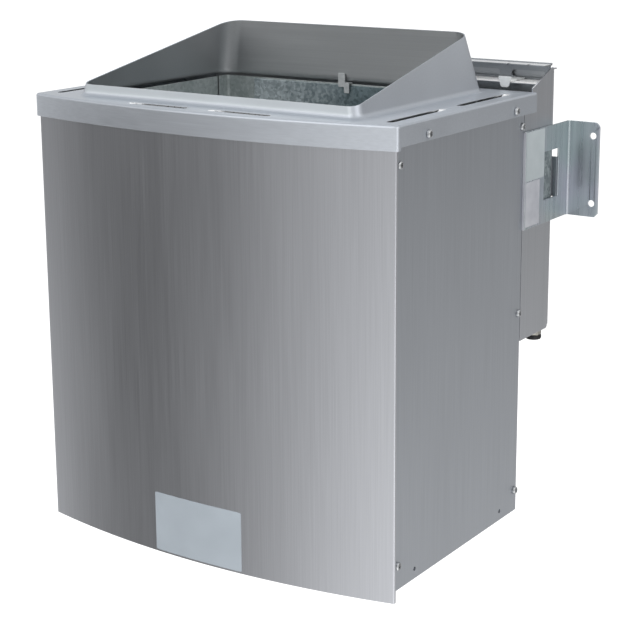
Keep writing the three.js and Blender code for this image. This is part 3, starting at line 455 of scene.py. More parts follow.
# faces from each row of points to the next
def skin(bm, rows, closed=True):
    for first, second in zip(rows, rows[1:]):
        bridge(bm, first, second, closed)


# a flat sheet inside the first outline, with the other outlines cut out of it
def fillSheet(bm, outlines):
    edges = []
    for outline in outlines:
        edges += loopEdges(bm, outline)[1]
    bmesh.ops.triangle_fill(bm, edges=edges, use_beauty=True)


# a closed bar from one outline to another
def makeBar(*outlines):
    bm = bmesh.new()
    ends = [[bm.verts.new(p) for p in outline] for outline in outlines]
    bridge(bm, *ends)
    for end in ends:
        bm.faces.new(end)
    return bm


def arc(centre, radius, start, end, steps):
    turns = [math.radians(start + (end - start) * i / steps) for i in range(steps + 1)]
    return [(centre[0] + radius * math.cos(a), centre[1] + radius * math.sin(a)) for a in turns]


def rectangle(u0, u1, v0, v1):
    return [(u0, v0), (u1, v0), (u1, v1), (u0, v1)]


def fullTurn(count):
    return [2 * math.pi * i / count for i in range(count)]


# the direction to the right of a path at each of its points
def sides(path):
    normals = []
    for i, point in enumerate(path):
        before = Vector(point) - Vector(path[i - 1]) if i else Vector(path[1]) - Vector(point)
        after = Vector(path[i + 1]) - Vector(point) if i < len(path) - 1 else before
        along = before.normalized() + after.normalized()
        normals.append(Vector((along.y, -along.x)).normalized())
    return normals


# front panel: one sheet bulged between two rounded corner bends, with flanges tucked behind the sides
frontPanelSpec = {"bend": 1.8, "bendSteps": 6, "bulgeSteps": 96, "returnDepth": 3.0, "innerHalf": 198.8,
                  "flangeEnd": 15.0, "flangeFoot": 10.0, "height": 429.5, "edge": 0.25}


def buildFrontPanel(spec):
    bend, depth, foot, height = spec["bend"], spec["returnDepth"], spec["flangeFoot"], spec["height"]
    # the bend's centre lies inside both the bulge and the return
    bendX = panelHalf - bend
    bendY = bulgeCentre - math.sqrt((bulgeRadius - bend) ** 2 - bendX ** 2)
    reach = math.degrees(math.asin(bendX / (bulgeRadius - bend)))
    front = arc((0, bulgeCentre), bulgeRadius, -90 - reach, -90 + reach, spec["bulgeSteps"])
    corner = arc((bendX, bendY), bend, -90 + reach, 0, spec["bendSteps"])[1:]
    rightSide = corner + [(panelHalf, depth)]
    leftSide = [(-x, y) for x, y in reversed(rightSide)]
    outline = leftSide + front + rightSide
    bm = bmesh.new()
    low, high = [[bm.verts.new(at(x, y, z)) for x, y in outline] for z in (0, height)]
    bridge(bm, low, high, closed=False)
    for end, x in ((0, -spec["innerHalf"]), (-1, spec["innerHalf"])):
        fold = [bm.verts.new(at(x, depth, z)) for z in (0, foot, height)]
        tucked = [bm.verts.new(at(x, spec["flangeEnd"], z)) for z in (foot, height)]
        bm.faces.new([low[end], *fold, high[end]])
        bm.faces.new([fold[1], *tucked, fold[2]])
    addPiece("front-panel-skin", bm, brushed, "heater", ["front_panel"], gauge=sheetGauge,
             outward=(0, -1, 0), edge=spec["edge"])


buildFrontPanel(frontPanelSpec)
print("front panel built")


# top cover: curved flange, rounded bends, air slots, and the hopper drawn up out of the same sheet
coverSpec = {"half": 205.0, "top": 431.0, "rear": 255.0, "overhang": 3.0, "corner": 4.0, "bend": 2.4,
             "frontLow": 409.0, "sideLow": 412.0, "wrap": 5.0, "wrapStep": 0.4, "bulgeSteps": 80,
             "bendSteps": 6, "edge": 0.3, "slotWidth": 7.0, "slotSteps": 10, "frontSlots": (-46.0, 46.0),
             "frontSlotY": -9.8, "frontSlotLength": 68.0, "sideSlotX": 187.0, "sideSlots": (59.0, 181.0),
             "sideSlotLength": 95.0, "tongueReach": 6.0, "tongueDrop": 4.2, "tongueNarrow": 0.92}
hopperSpec = {"half": 158.4, "front": 8.4, "rear": 239.6, "rearCorner": 18.0, "frontCorner": 10.0,
              "cornerSteps": 12, "fillet": 5.0, "filletSteps": 8, "rimFront": 10.5, "rimRear": 58.0,
              "wallSteps": 3, "sideLean": 0.24, "endLean": 0.14}
# painted highlight on tongues within this tilt and on edges that face forward, up to a margin round a slot
highlightSpec = {"tongueTilt": (0.5, 0.95), "edgeForward": 0.5, "margin": 0.3}


# from the left rear end round the front to the right one, with the height of the flange's lower edge
def coverOutline(spec):
    half, corner = spec["half"], spec["corner"]
    radius = bulgeRadius + spec["overhang"]
    cornerY = bulgeCentre - math.sqrt(radius ** 2 - half ** 2)
    reach = math.degrees(math.asin((half - corner) / radius))
    front = arc((0, bulgeCentre), radius, -90 - reach, -90 + reach, spec["bulgeSteps"])
    start, control, end = Vector(front[-1]), Vector((half, cornerY)), Vector((half, cornerY + corner))
    steps = [i / spec["bendSteps"] for i in range(1, spec["bendSteps"] + 1)]
    turn = [tuple(start * (1 - t) ** 2 + control * 2 * t * (1 - t) + end * t * t) for t in steps]
    wrapY = cornerY + spec["wrap"]
    rightSide = turn + [(half, wrapY), (half, wrapY + spec["wrapStep"]), (half, spec["rear"])]
    path = [(-x, y) for x, y in reversed(rightSide)] + front + rightSide
    stepY = wrapY + spec["wrapStep"] / 2
    return path, [spec["sideLow"] if y > stepY else spec["frontLow"] for _, y in path]


# the hopper's outline at its foot, set out by the fillet; each point knows its side and its end
def hopperFeet(spec, outset):
    feet = []
    for quarter, (side, end) in enumerate(((1, 1), (-1, 1), (-1, -1), (1, -1))):
        edgeY = spec["rear"] + outset if end > 0 else spec["front"] - outset
        turn = (spec["rearCorner"] if end > 0 else spec["frontCorner"]) + outset
        centre = (side * (spec["half"] + outset - turn), edgeY - end * turn)
        for x, y in arc(centre, turn, 90 * quarter, 90 * (quarter + 1), spec["cornerSteps"]):
            feet.append((x, y, side, end))
    return feet


# outlines up the hopper's wall, from the fillet's foot to the inclined rim
def hopperRings(spec, top):
    def leaned(x, y, side, end, rise):
        return at(x - spec["sideLean"] * side * rise, y - spec["endLean"] * end * rise, top + rise)

    rings = []
    for i in range(spec["filletSteps"] + 1):
        t = i / spec["filletSteps"]
        outset, rise = spec["fillet"] * (1 - t) ** 2, spec["fillet"] * t * t
        rings.append([leaned(*foot, rise) for foot in hopperFeet(spec, outset)])
    slope = (spec["rimRear"] - spec["rimFront"]) / (spec["rear"] - spec["front"])
    for i in range(1, spec["wallSteps"] + 1):
        ring = []
        for x, y, side, end in hopperFeet(spec, 0):
            rim = (spec["rimFront"] + slope * (y - spec["front"])) / (1 + slope * spec["endLean"] * end)
            rise = spec["fillet"] + (rim - spec["fillet"]) * i / spec["wallSteps"]
            ring.append(leaned(x, y, side, end, rise))
        rings.append(ring)
    return rings


# cuts the air slots, each with its stamped tongue bent down at one round end, and gives back their edges
def cutSlots(bm, spec):
    width, steps, narrow, top = spec["slotWidth"], spec["slotSteps"], spec["tongueNarrow"], spec["top"]
    slots = [(x, spec["frontSlotY"], spec["frontSlotLength"], False) for x in spec["frontSlots"]]
    for x in (spec["sideSlotX"], -spec["sideSlotX"]):
        slots += [(x, y, spec["sideSlotLength"], True) for y in spec["sideSlots"]]
    edges = []
    for x, y, length, turned in slots:
        half = (length - width) / 2
        loop = arc((half, 0), width / 2, -90, 90, steps) + arc((-half, 0), width / 2, 90, 270, steps)
        loop = [(x - v, y + u) if turned else (x + u, y + v) for u, v in loop]
        verts, slotEdges = loopEdges(bm, [at(u, v, top) for u, v in loop])
        edges += slotEdges
        roundEnd = slice(0, steps + 1) if turned else slice(steps + 1, None)
        tip = []
        for u, v in loop[roundEnd]:
            if turned:
                u, v = x + (u - x) * narrow, y + half - spec["tongueReach"]
            else:
                u, v = x - half + spec["tongueReach"], y + (v - y) * narrow
            tip.append(bm.verts.new(at(u, v, top - spec["tongueDrop"])))
        bridge(bm, verts[roundEnd], tip, closed=False)
    return edges


def buildTopCover(spec, hopper, highlight):
    top, bend = spec["top"], spec["bend"]
    path, lows = coverOutline(spec)
    outward = sides(path)
    bm = bmesh.new()
    rows = [[bm.verts.new(at(x, y, z)) for (x, y), z in zip(path, lows)]]
    for i in range(spec["bendSteps"] + 1):
        a = math.radians(90 * i / spec["bendSteps"])
        inset, z = bend * (1 - math.cos(a)), top - bend + bend * math.sin(a)
        row = [at(x - n.x * inset, y - n.y * inset, z) for (x, y), n in zip(path, outward)]
        rows.append([bm.verts.new(p) for p in row])
    skin(bm, rows, closed=False)
    rim = rows[-1]
    border = [bm.edges.get(pair) for pair in zip(rim, rim[1:])]
    border.append(bm.edges.new((rim[-1], rim[0])))

    rings = hopperRings(hopper, top)
    mouth, mouthEdges = loopEdges(bm, rings[0])
    skin(bm, [mouth] + [[bm.verts.new(p) for p in ring] for ring in rings[1:]])
    bmesh.ops.triangle_fill(bm, edges=border + mouthEdges + cutSlots(bm, spec), use_beauty=True)
    cover = addPiece("top-cover-skin", bm, drawnCover, "heater", ["top_cover"], gauge=sheetGauge,
                     outward=(0, 0, 1), edge=spec["edge"])

    # painted highlight on the tongues, and on the front slots' rear edges
    def takesPaintedHighlight(face):
        x, y, z = (face.center - datum) / mm
        half, (steep, level) = spec["slotWidth"] / 2, highlight["tongueTilt"]
        inSide = abs(abs(x) - spec["sideSlotX"]) < half and y > 0
        nearFront = abs(y - spec["frontSlotY"]) <= half + highlight["margin"]
        inFront = nearFront and abs(x) < 2 * spec["frontSlotLength"]
        tongue = (inSide or inFront) and steep < face.normal.z < level
        return z < top and (tongue or inFront and face.normal.y < -highlight["edgeForward"])

    refinish(cover, small["stainlessPaintedHighlight"], takesPaintedHighlight)


buildTopCover(coverSpec, hopperSpec, highlightSpec)
print("top cover and hopper built")


# wall brackets: an angle with a true bend, a hook window (Y and Z ranges) and two fixing holes
bracketSpec = {"gauge": 2.0, "bend": 2.4, "bendSteps": 6, "topRound": 6.0, "roundSteps": 8, "chamfer": 4.0,
               "holeRadius": 3.3, "holeSides": 24, "holeEnd": 13.95, "holeInset": 7.3,
               "window": (279.6, 311.2, 321.5, 369.3), "edge": 0.8, "cutDepth": 0.9}


def buildBracket(name, side, spec):
    low, high = localBox(f"{name}_wall_bracket")
    outer = max(abs(low.x), abs(high.x))
    inner = min(abs(low.x), abs(high.x)) + spec["gauge"]
    wallFace = high.y - spec["gauge"]
    bend, topRound, chamfer = spec["bend"], spec["topRound"], spec["chamfer"]
    seamX, seamY = inner + bend, wallFace - bend
    bm = bmesh.new()

    # side leg with its window
    loops = (rectangle(low.y, seamY, low.z, high.z), rectangle(*spec["window"]))
    fillSheet(bm, [[at(side * inner, y, z) for y, z in loop] for loop in loops])

    # wall leg with its two holes
    wallLeg = [(seamX, low.z), (outer - chamfer, low.z), (outer, low.z + chamfer)]
    wallLeg += arc((outer - topRound, high.z - topRound), topRound, 0, 90, spec["roundSteps"])
    loops = [wallLeg + [(seamX, high.z)]]
    lastSide = spec["holeSides"] - 1
    for z in (low.z + spec["holeEnd"], high.z - spec["holeEnd"]):
        centre = (outer - spec["holeInset"], z)
        loops.append(arc(centre, spec["holeRadius"], 0, 360 * lastSide / spec["holeSides"], lastSide))
    fillSheet(bm, [[at(side * x, wallFace, z) for x, z in loop] for loop in loops])

    # the bend between them
    turn = arc((seamX, seamY), bend, 180, 90, spec["bendSteps"])
    bridge(bm, *[[bm.verts.new(at(side * x, y, z)) for x, y in turn] for z in (low.z, high.z)], closed=False)
    angle = addPiece(f"{name}-bracket-angle", bm, zinc, "wall_brackets", [f"{name}_wall_bracket"],
                     gauge=spec["gauge"], outward=(side, -1, 0), edge=spec["edge"])
    cutLine = at(0, low.y + spec["cutDepth"], 0).y
    refinish(angle, small["cutEdge"], lambda face: face.center.y < cutLine)


bothSides = {"right": 1, "left": -1}
for name, side in bothSides.items():
    buildBracket(name, side, bracketSpec)
print("wall brackets built")


# pan-head screws with a cross recess; heights are above the head's seat
screwSpec = {"head": 3.9, "top": 2.1, "rimHeight": 0.9, "topHeight": 2.86, "solidHeight": 2.9,
             "shoulderSteps": 5, "sides": 28, "shank": 7.0, "shankRadius": 2.0, "arm": 2.0,
             "armWidth": 1.15, "recess": 1.7, "taper": 0.72}


def buildScrew(node, spec):
    low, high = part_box(node)
    middle = (low + high) / 2
    side = 1 if middle.x > 0 else -1
    tip = high.x if side > 0 else low.x
    top = spec["topHeight"]
    bm = bmesh.new()

    def spot(u, v, height):
        x = tip + side * (height - spec["solidHeight"]) * mm
        return Vector((x, middle.y + u * mm, middle.z + v * mm))

    shank = spec["shankRadius"]
    profile = [(shank, -spec["shank"]), (shank, 0.0), (spec["head"], 0.0)]
    for i in range(spec["shoulderSteps"] + 1):
        a = math.radians(90 * i / spec["shoulderSteps"])
        profile.append((spec["top"] + (spec["head"] - spec["top"]) * math.cos(a),
                        spec["rimHeight"] + (top - spec["rimHeight"]) * math.sin(a)))
    turns = fullTurn(spec["sides"])
    rows = [[bm.verts.new(spot(r * math.cos(a), r * math.sin(a), h)) for a in turns] for r, h in profile]
    bm.faces.new(rows[0])
    skin(bm, rows)

    arm, half = spec["arm"], spec["armWidth"] / 2
    cross = []
    for c, s in ((1, 0), (0, 1), (-1, 0), (0, -1)):
        cross += [(u * c - v * s, u * s + v * c) for u, v in ((arm, -half), (arm, half), (half, half))]
    mouth, edges = loopEdges(bm, [spot(u, v, top) for u, v in cross])
    ring = rows[-1]
    edges += [bm.edges.get(pair) for pair in zip(ring, ring[1:] + ring[:1])]
    bmesh.ops.triangle_fill(bm, edges=edges, use_beauty=True)
    taper = spec["taper"]
    pit = [bm.verts.new(spot(u * taper, v * taper, top - spec["recess"])) for u, v in cross]
    bridge(bm, mouth, pit)
    bm.faces.new(pit)
    addPiece(node.replace("_", "-") + "-head", bm, small["stainlessScrewTumbled"], "heater", [node])


screwNodes = sorted(name for name in frame["nodes"] if "screw" in name)
for node in screwNodes:
    buildScrew(node, screwSpec)
print("screws built:", len(screwNodes))


# heating elements: round tube swept along the loop, with a terminal pin in each cold end
elementSpec = {"count": 3, "radius": 4.1, "sides": 20, "bend": 14.0, "bendSteps": 10, "loop": 35.0,
               "loopSteps": 24, "legPitch": 14.0, "chamfer": 0.8, "pinRadius": 1.8, "pinLength": 9.0}


def buildElement(node, spec):
    low, high = localBox(node)
    middle = (low.x + high.x) / 2
    tube, bend, loop = spec["radius"], spec["bend"], spec["loop"]
    front, lower = low.y + tube, low.z + tube
    upper = lower + spec["legPitch"]
    rear = high.y - spec["pinLength"]
    crown = (front + loop, high.z - tube - loop)
    back = front + 2 * loop
    path = [(rear, lower)] + arc((front + bend, lower + bend), bend, 270, 180, spec["bendSteps"])
    path += arc(crown, loop, 180, 0, spec["loopSteps"])
    path += arc((back + bend, upper + bend), bend, 180, 270, spec["bendSteps"]) + [(rear, upper)]
    across = sides(path)
    turns = fullTurn(spec["sides"])
    bm = bmesh.new()

    def ring(y, z, n, radius):
        return [bm.verts.new(at(middle + radius * math.cos(a), y + n.x * radius * math.sin(a),
                                z + n.y * radius * math.sin(a))) for a in turns]

    def coldEnd(y, z, n):
        start = ring(y - spec["chamfer"], z, n, tube)
        shoulder = ring(y, z, n, tube - spec["chamfer"])
        pin, tip = [ring(pinY, z, n, spec["pinRadius"]) for pinY in (y, y + spec["pinLength"])]
        skin(bm, [start, shoulder, pin, tip])
        bm.faces.new(tip)
        return start

    rows = [coldEnd(*path[0], across[0])]
    rows += [ring(*p, n, tube) for p, n in zip(path[1:-1], across[1:-1])]
    rows.append(coldEnd(*path[-1], across[-1]))
    skin(bm, rows)
    addPiece(node.replace("_", "-") + "-tube", bm, small["alloyTubeHeatStained"], "heater", [node])


for number in range(1, elementSpec["count"] + 1):
    buildElement(f"heating_element_{number}", elementSpec)
print("heating elements built")


# gland dome nut: a fluted grip, a domed nose and an open bore
domeSpec = {"outer": 8.2, "bore": 4.0, "flutes": 12, "fluteDepth": 0.5, "stepsPerFlute": 4, "chamfer": 0.5,
            "chamferFlute": 0.3, "nose": 1.5, "noseSteps": 5}


def buildDomeNut(spec):
    low, high = localBox("gland_dome_nut")
    cx, cy = (low.x + high.x) / 2, (low.y + high.y) / 2
    turns = fullTurn(spec["flutes"] * spec["stepsPerFlute"])
    bm = bmesh.new()

    def ring(radius, z, depth):
        points = []
        for a in turns:
            wave = (1 - math.cos(a * spec["flutes"])) / 2
            r = radius - depth * wave ** 2
            points.append(bm.verts.new(at(cx + r * math.cos(a), cy + r * math.sin(a), z)))
        return points

    outer, bore, nose, depth = spec["outer"], spec["bore"], spec["nose"], spec["fluteDepth"]
    rows = [ring(bore, high.z, 0), ring(outer - spec["chamfer"], high.z, spec["chamferFlute"]),
            ring(outer, high.z - spec["chamfer"], depth), ring(outer, low.z + nose, depth)]
    for i in range(1, spec["noseSteps"] + 1):
        t = i / spec["noseSteps"]
        a = math.radians(90 * t)
        rows.append(ring(outer - nose * (1 - math.cos(a)), low.z + nose * (1 - math.sin(a)), depth * (1 - t)))
    rows.append(ring(bore, low.z, 0))
    skin(bm, rows + rows[:1])
    addPiece("gland-dome-nut-fluted", bm, small["nylonMouldedBlack"], "heater", ["gland_dome_nut"])


buildDomeNut(domeSpec)
print("gland nut built")


# closed hem folded up along the rear edge of the baffle's flange
hemSpec = {"depth": 1.8, "height": 1.5, "round": 0.7, "roundSteps": 4, "seat": 0.02}


def buildHem(spec):
    low, high = localBox("slotted_baffle")
    front, rear = high.y - spec["depth"], high.y
    foot, crest, bend = high.z + spec["seat"], high.z + spec["height"], spec["round"]
    profile = [(rear, foot)] + arc((rear - bend, crest - bend), bend, 0, 90, spec["roundSteps"])
    profile += arc((front + bend, crest - bend), bend, 90, 180, spec["roundSteps"]) + [(front, foot)]
    bm = makeBar(*[[at(x, y, z) for y, z in profile] for x in (low.x, high.x)])
    addPiece("baffle-rear-hem", bm, shadedSheet, "heater")


buildHem(hemSpec)
print("baffle hem built")


# dark plates of painted shade on the casing's sides, behind the brackets' windows
windowShadeSpec = {"front": 277.0, "low": 312.0, "high": 372.0, "thick": 0.3, "seat": 0.05, "rearInset": 0.4,
           "edge": 0.1}


def buildWindowShadePlate(name, side, spec):
    low, high = localBox(f"{name}_casing_side")
    face = max(abs(low.x), abs(high.x)) + spec["seat"]
    loop = rectangle(spec["front"], high.y - spec["rearInset"], spec["low"], spec["high"])
    bm = makeBar(*[[at(side * x, y, z) for y, z in loop] for x in (face, face + spec["thick"])])
    addPiece(f"{name}-window-shade-plate", bm, windowShadeSheet, "heater", edge=spec["edge"])


for name, side in bothSides.items():
    buildWindowShadePlate(name, side, windowShadeSpec)
print("window shade plates built")


# the lip of the bracket's film, folded over the bracket's front edge as far as the side panel
lipSpec = {"thick": 0.15, "cover": 0.2, "reach": 0.4, "end": 0.6, "seat": 0.02, "edge": 0.05}


def buildFilmLip(spec):
    low, high = localBox("right_wall_bracket")
    x0, x1 = low.x - spec["reach"], low.x + bracketSpec["gauge"] + spec["cover"]
    y0, y1 = low.y - spec["thick"] - spec["seat"], low.y - spec["seat"]
    ends = (low.z + spec["end"], high.z - spec["end"])
    bm = makeBar(*[[at(x, y, z) for x, y in rectangle(x0, x1, y0, y1)] for z in ends])
    addPiece("bracket-film-lip", bm, small["filmMilky"], "wall_brackets", edge=spec["edge"])


# blank foil plates and the film: ranges of X and Z on the front panel's curve, of Y and Z on the bracket
plateSpec = {"front": (-53.0, 49.0, 2.0, 60.6), "bracket": (239.4, 278.6, 345.5, 393.6),
             "film": (239.4, 269.5, 300.4, 344.5), "round": 1.5, "roundSteps": 5, "thick": 0.18, "seat": 0.02,
             "columns": 24, "cornerColumn": 0.45}


def buildFrontPlate(spec):
    x0, x1, z0, z1 = spec["front"]
    edge, radius = spec["round"], bulgeRadius + (spec["thick"] + spec["seat"])
    columns = {x0 + (x1 - x0) * i / spec["columns"] for i in range(spec["columns"] + 1)}
    columns |= {x0 + spec["cornerColumn"], x1 - spec["cornerColumn"]}
    bm = bmesh.new()
    lower, upper = [], []
    for x in sorted(columns):
        gap = min(x - x0, x1 - x)
        trim = edge - math.sqrt(max(edge ** 2 - max(edge - gap, 0) ** 2, 0))
        y = bulgeCentre - math.sqrt(radius ** 2 - x * x)
        lower.append(bm.verts.new(at(x, y, z0 + trim)))
        upper.append(bm.verts.new(at(x, y, z1 - trim)))
    bridge(bm, lower, upper, closed=False)
    addPiece("front-blank-plate", bm, small["polyesterFoilSatin"], "heater", gauge=spec["thick"],
             outward=(0, -1, 0))


def buildBracketPlate(name, place, material, spec):
    face = localBox("right_wall_bracket")[0].x + bracketSpec["gauge"] + spec["thick"] + spec["seat"]
    y0, y1, z0, z1 = place
    turn = spec["round"]
    centres = [(y1 - turn, z0 + turn), (y1 - turn, z1 - turn), (y0 + turn, z1 - turn), (y0 + turn, z0 + turn)]
    loop = []
    for quarter, centre in enumerate(centres):
        loop += arc(centre, turn, 90 * (quarter - 1), 90 * quarter, spec["roundSteps"])
    bm = bmesh.new()
    fillSheet(bm, [[at(face, y, z) for y, z in loop]])
    addPiece(name, bm, material, "wall_brackets", gauge=spec["thick"], outward=(1, 0, 0))


buildFilmLip(lipSpec)
buildFrontPlate(plateSpec)
buildBracketPlate("bracket-blank-plate", plateSpec["bracket"], small["polyesterFoilPale"], plateSpec)
buildBracketPlate("bracket-film", plateSpec["film"], small["filmMilky"], plateSpec)
print("blank plates and film built")


# the remaining solids keep their CAD shape, with rounded edges and their own finish
dressedNodes = {
    brushedSide: ["right_side_panel", "left_side_panel"],
    rolled: ["right_casing_side", "left_casing_side", "casing_back_plate", "casing_bottom_lid",
             "element_carrier", "stone_grate"],
    small["stainlessStripSatin"]: ["chamber_clip"],
    shadedSheet: ["slotted_baffle"],
    shielding: ["front_heat_shield", "rear_heat_shield"],
    spangled: ["chamber_liner"],
    galvanised: ["stone_chamber", "front_chamber_rail", "rear_chamber_rail", "lower_rear_rail",
                 "terminal_tray"],
    small["steelZincBright"]: ["right_shield_clip", "left_shield_clip"],
    shadedZinc: ["right_hook_tongue", "left_hook_tongue"],
    small["steatiteFired"]: ["terminal_block"],
    small["brassTurned"]: ["earth_stud"],
    small["nickelPlatedBrassTurned"]: ["gland_body", "gland_lock_nut"],
}
# a foot is the share of its width that a piece keeps at its lower end
dressedSpec = {"edge": 0.25, "foot": 1.0, "backFacing": 0.7,
               "edges": {"stone_grate": 0.9, "terminal_block": 0.6, "right_hook_tongue": 0.5,
                         "left_hook_tongue": 0.5},
               "feet": {"right_shield_clip": 0.62, "left_shield_clip": 0.62}}


# a copy of a CAD solid, with its flat faces merged
def dressNode(node, material, edge, foot):
    bm = bmesh.new()
    bm.from_mesh(frame["nodes"][node].data)
    low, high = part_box(node)
    middle = (low.x + high.x) / 2
    for vert in bm.verts:
        share = foot + (1 - foot) * (vert.co.z - low.z) / (high.z - low.z)
        vert.co.x = middle + (vert.co.x - middle) * share
    bmesh.ops.remove_doubles(bm, verts=bm.verts, dist=meshSpec["weld"] * mm)
    flat = math.radians(meshSpec["flatAngle"])
    bmesh.ops.dissolve_limit(bm, angle_limit=flat, verts=bm.verts, edges=bm.edges)
    body = frame["nodes"][node]["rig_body"]
    return addPiece(node.replace("_", "-") + "-dressed", bm, material, body, [node], edge=edge)


dressed = {}
for material, nodes in dressedNodes.items():
    for node in nodes:
        edge = dressedSpec["edges"].get(node, dressedSpec["edge"])
        foot = dressedSpec["feet"].get(node, dressedSpec["foot"])
        dressed[node] = dressNode(node, material, edge, foot)
# the back plate carries painted shade on the side towards the stones
refinish(dressed["casing_back_plate"], backing, lambda face: face.normal.y < -dressedSpec["backFacing"])
print("CAD pieces dressed:", len(dressed))


# floor, light and camera, in metres
stageSpec = {"heart": (0, -0.2, -0.14), "floorDrop": 0.6, "floorSize": 40.0, "floor": "#f7f7f7", "rough": 0.9,
             "seenGlow": 0.45}
heart = Vector(stageSpec["heart"])  # the point that screen and lamps stand round
floorHeight = panelLow.z - stageSpec["floorDrop"]


def stageMesh(name, bm, material):
    mesh = bpy.data.meshes.new(name)
    bm.to_mesh(mesh)
    bm.free()
    mesh.materials.append(material)
    obj = bpy.data.objects.new(name, mesh)
    bpy.context.scene.collection.objects.link(obj)
    return obj


# White paper, matt: it keeps the object's shadow, and a glow that only the camera sees takes it near white
def buildFloor(spec):
    paper, tree, shader = startMaterial("paperFloor", 0.0)
    shader.inputs["Base Color"].default_value = linear(spec["floor"])
    shader.inputs["Roughness"].default_value = spec["rough"]
    shader.inputs["Specular IOR Level"].default_value = 0.0
    shader.inputs["Emission Color"].default_value = linear("#ffffff")
    rays = addNode(tree, "LightPath")
    glow = addNode(tree, "Math", {0: rays.outputs["Is Camera Ray"], 1: spec["seenGlow"]},
                   operation="MULTIPLY")
    tree.links.new(glow.outputs[0], shader.inputs["Emission Strength"])
    bm = bmesh.new()
    bmesh.ops.create_grid(bm, x_segments=1, y_segments=1, size=spec["floorSize"] / 2)
    floor = stageMesh("floor", bm, paper)
    floor.location.z = floorHeight


buildFloor(stageSpec)

# a round screen of grey paper that only the steel sees: azimuth (0 in front), grey and top of each strip;
# it fades from lift at the floor to dim at fadeTop above the heart, and bright azimuths are raised by gain
screenSpec = {"radius": 1.6, "inner": 0.3, "columns": 96, "clear": 0.002, "lift": 1.3, "dim": 0.7,
              "fadeTop": 0.2, "bright": (55, 80), "gain": 1.45, "strips": [
    (-180, "#d8d8d8", 0.9), (-160, "#c8c8c8", 1.2), (-152, "#808080", 1.6), (-146, "#484848", 1.6),
    (-139, "#ffffff", 0.9), (-125, "#ffffff", 0.9), (-110, "#d0d0d0", 0.5), (-80, "#ffffff", 0.1),
    (-70, "#d6d6d6", 0.1), (-59, "#686868", 0.09), (-46, "#464646", 0.09), (-36, "#666666", 0.09),
    (-24, "#929292", 0.09), (-11, "#c6c6c6", 0.1), (2, "#f6f6f6", 0.12), (48, "#e0e0e0", 0.25),
    (56, "#ffffff", 0.3), (78, "#ffffff", 0.35), (90, "#c0c0c0", 0.4), (110, "#acacac", 0.45),
    (146, "#b2b2b2", 0.45), (180, "#d8d8d8", 0.9)]}


def screenTop(strips, azimuth):
    for (a0, _, t0), (a1, _, t1) in zip(strips, strips[1:]):
        if a0 <= azimuth <= a1:
            return t0 + (t1 - t0) * (azimuth - a0) / (a1 - a0)


def greyPaper(spec):
    material = bpy.data.materials.new("greyPaper")
    material.use_nodes = True
    tree = material.node_tree
    place = addNode(tree, "TexCoord")
    around = addNode(tree, "TexGradient", {"Vector": place.outputs["Object"]}, gradient_type="RADIAL")
    ramp = addNode(tree, "ValToRGB", {"Fac": around.outputs["Fac"]})
    stops = ramp.color_ramp.elements
    stops[0].position, stops[-1].position = 0.0, 1.0
    for azimuth, _, _ in spec["strips"][1:-1]:
        stops.new(azimuth / 360 + 0.5)
    first, last = spec["bright"]
    for stop, (azimuth, grey, _) in zip(stops, spec["strips"]):
        gain = spec["gain"] if first <= azimuth <= last else 1.0
        stop.color = [part * gain for part in linear(grey)[:3]] + [1.0]
    height = addNode(tree, "SeparateXYZ", {"Vector": place.outputs["Object"]})
    fade = addNode(tree, "MapRange", {"Value": height.outputs["Z"], "From Min": floorHeight - heart.z,
                                      "From Max": spec["fadeTop"], "To Min": spec["lift"],
                                      "To Max": spec["dim"]})
    glow = addNode(tree, "Emission", {"Color": ramp.outputs[0], "Strength": fade.outputs[0]})
    tree.links.new(glow.outputs[0], tree.nodes["Material Output"].inputs["Surface"])
    return material


def buildScreen(spec):
    foot = floorHeight + spec["clear"]
    bm = bmesh.new()
    rows = []
    for i in range(spec["columns"] + 1):
        azimuth = -180 + 360 * i / spec["columns"]
        a = math.radians(azimuth)
        out = Vector((math.cos(a), math.sin(a), 0))
        top = screenTop(spec["strips"], azimuth)
        stand = ((spec["inner"], foot), (spec["radius"], foot), (spec["radius"], top))
        rows.append([bm.verts.new(out * radius + Vector((0, 0, z - heart.z))) for radius, z in stand])
    skin(bm, list(zip(*rows)), closed=False)
    screen = stageMesh("screen", bm, greyPaper(spec))
    screen.location = heart
    screen.rotation_euler.z = -math.pi / 2
    screen.visible_camera = False
    screen.visible_diffuse = False
    screen.visible_shadow = False


buildScreen(screenSpec)
print("floor and screen built")


# from the heart outwards; azimuth 0 is straight in front
def aimAt(azimuth, elevation, distance=1.0):
    a, e = math.radians(azimuth), math.radians(elevation)
    return Vector((math.sin(a) * math.cos(e), -math.cos(a) * math.cos(e), math.sin(e))) * distance


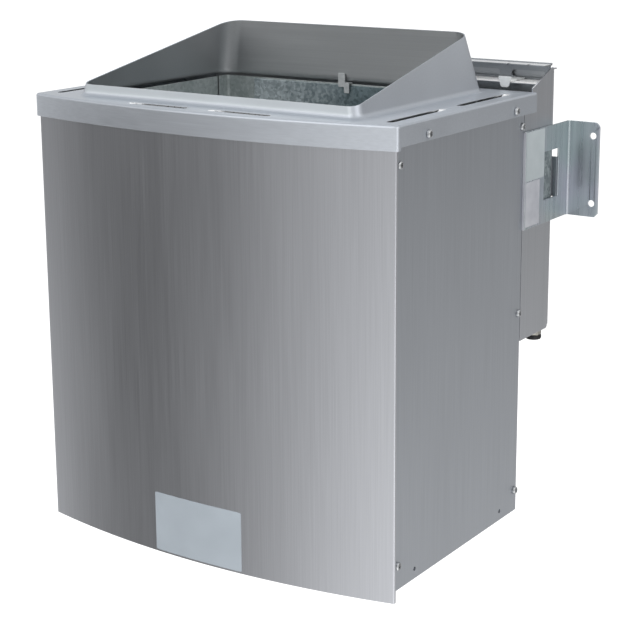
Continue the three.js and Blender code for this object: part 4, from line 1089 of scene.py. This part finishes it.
lampSpec = {
    "key": {"azimuth": -20, "elevation": 50, "distance": 3.0, "size": 2.2, "power": 20},
    "fill": {"azimuth": 80, "elevation": 40, "distance": 3.0, "size": 2.2, "power": 12},
    "back": {"azimuth": -150, "elevation": 42, "distance": 3.0, "size": 1.2, "power": 9},
}
for name, spec in lampSpec.items():
    data = bpy.data.lights.new(name, "AREA")
    data.shape = "SQUARE"
    data.size = spec["size"]
    data.energy = spec["power"]
    lamp = bpy.data.objects.new(name, data)
    lamp.location = heart + aimAt(spec["azimuth"], spec["elevation"], spec["distance"])
    lamp.rotation_euler = (heart - lamp.location).to_track_quat("-Z", "Y").to_euler()
    bpy.context.scene.collection.objects.link(lamp)

# white to the camera, softer to mirrors and softest on everything else
skySpec = {"seen": 1.0, "mirrored": 0.85, "cast": 0.75}


def buildSky(spec):
    world = bpy.data.worlds.new("studio")
    world.use_nodes = True
    tree = world.node_tree
    rays = addNode(tree, "LightPath")
    glossy, through = rays.outputs["Is Glossy Ray"], rays.outputs["Is Transmission Ray"]
    mirror = addNode(tree, "Math", {0: glossy, 1: through}, operation="MAXIMUM")
    bounced = addNode(tree, "MapRange",
                      {"Value": mirror.outputs[0], "To Min": spec["cast"], "To Max": spec["mirrored"]})
    level = addNode(tree, "MapRange", {"Value": rays.outputs["Is Camera Ray"], "To Min": bounced.outputs[0],
                                       "To Max": spec["seen"]})
    sky = tree.nodes["Background"]
    sky.inputs["Color"].default_value = linear("#ffffff")
    tree.links.new(level.outputs[0], sky.inputs["Strength"])
    bpy.context.scene.world = world


buildSky(skySpec)

# the photograph's own view: a little from the right, looking slightly down; place in the heater's millimetres
cameraSpec = {"place": (900.49, -1151.84, 631.24), "azimuth": 33.33, "pitch": 13.039, "roll": -0.182,
              "sensor": 36, "lens": 91.57, "shift": (-0.0278, -0.1)}


def buildCamera(spec):
    data = bpy.data.cameras.new("camera")
    data.sensor_width = spec["sensor"]
    data.lens = spec["lens"]
    data.shift_x, data.shift_y = spec["shift"]
    camera = bpy.data.objects.new("camera", data)
    camera.location = at(*spec["place"])
    forward = -aimAt(spec["azimuth"], spec["pitch"])
    roll = Matrix.Rotation(math.radians(spec["roll"]), 3, "Z")
    camera.rotation_euler = (forward.to_track_quat("-Z", "Y").to_matrix() @ roll).to_euler()
    bpy.context.scene.collection.objects.link(camera)
    bpy.context.scene.camera = camera


buildCamera(cameraSpec)
bpy.context.scene.view_settings.view_transform = "Standard"
print("light and camera set")
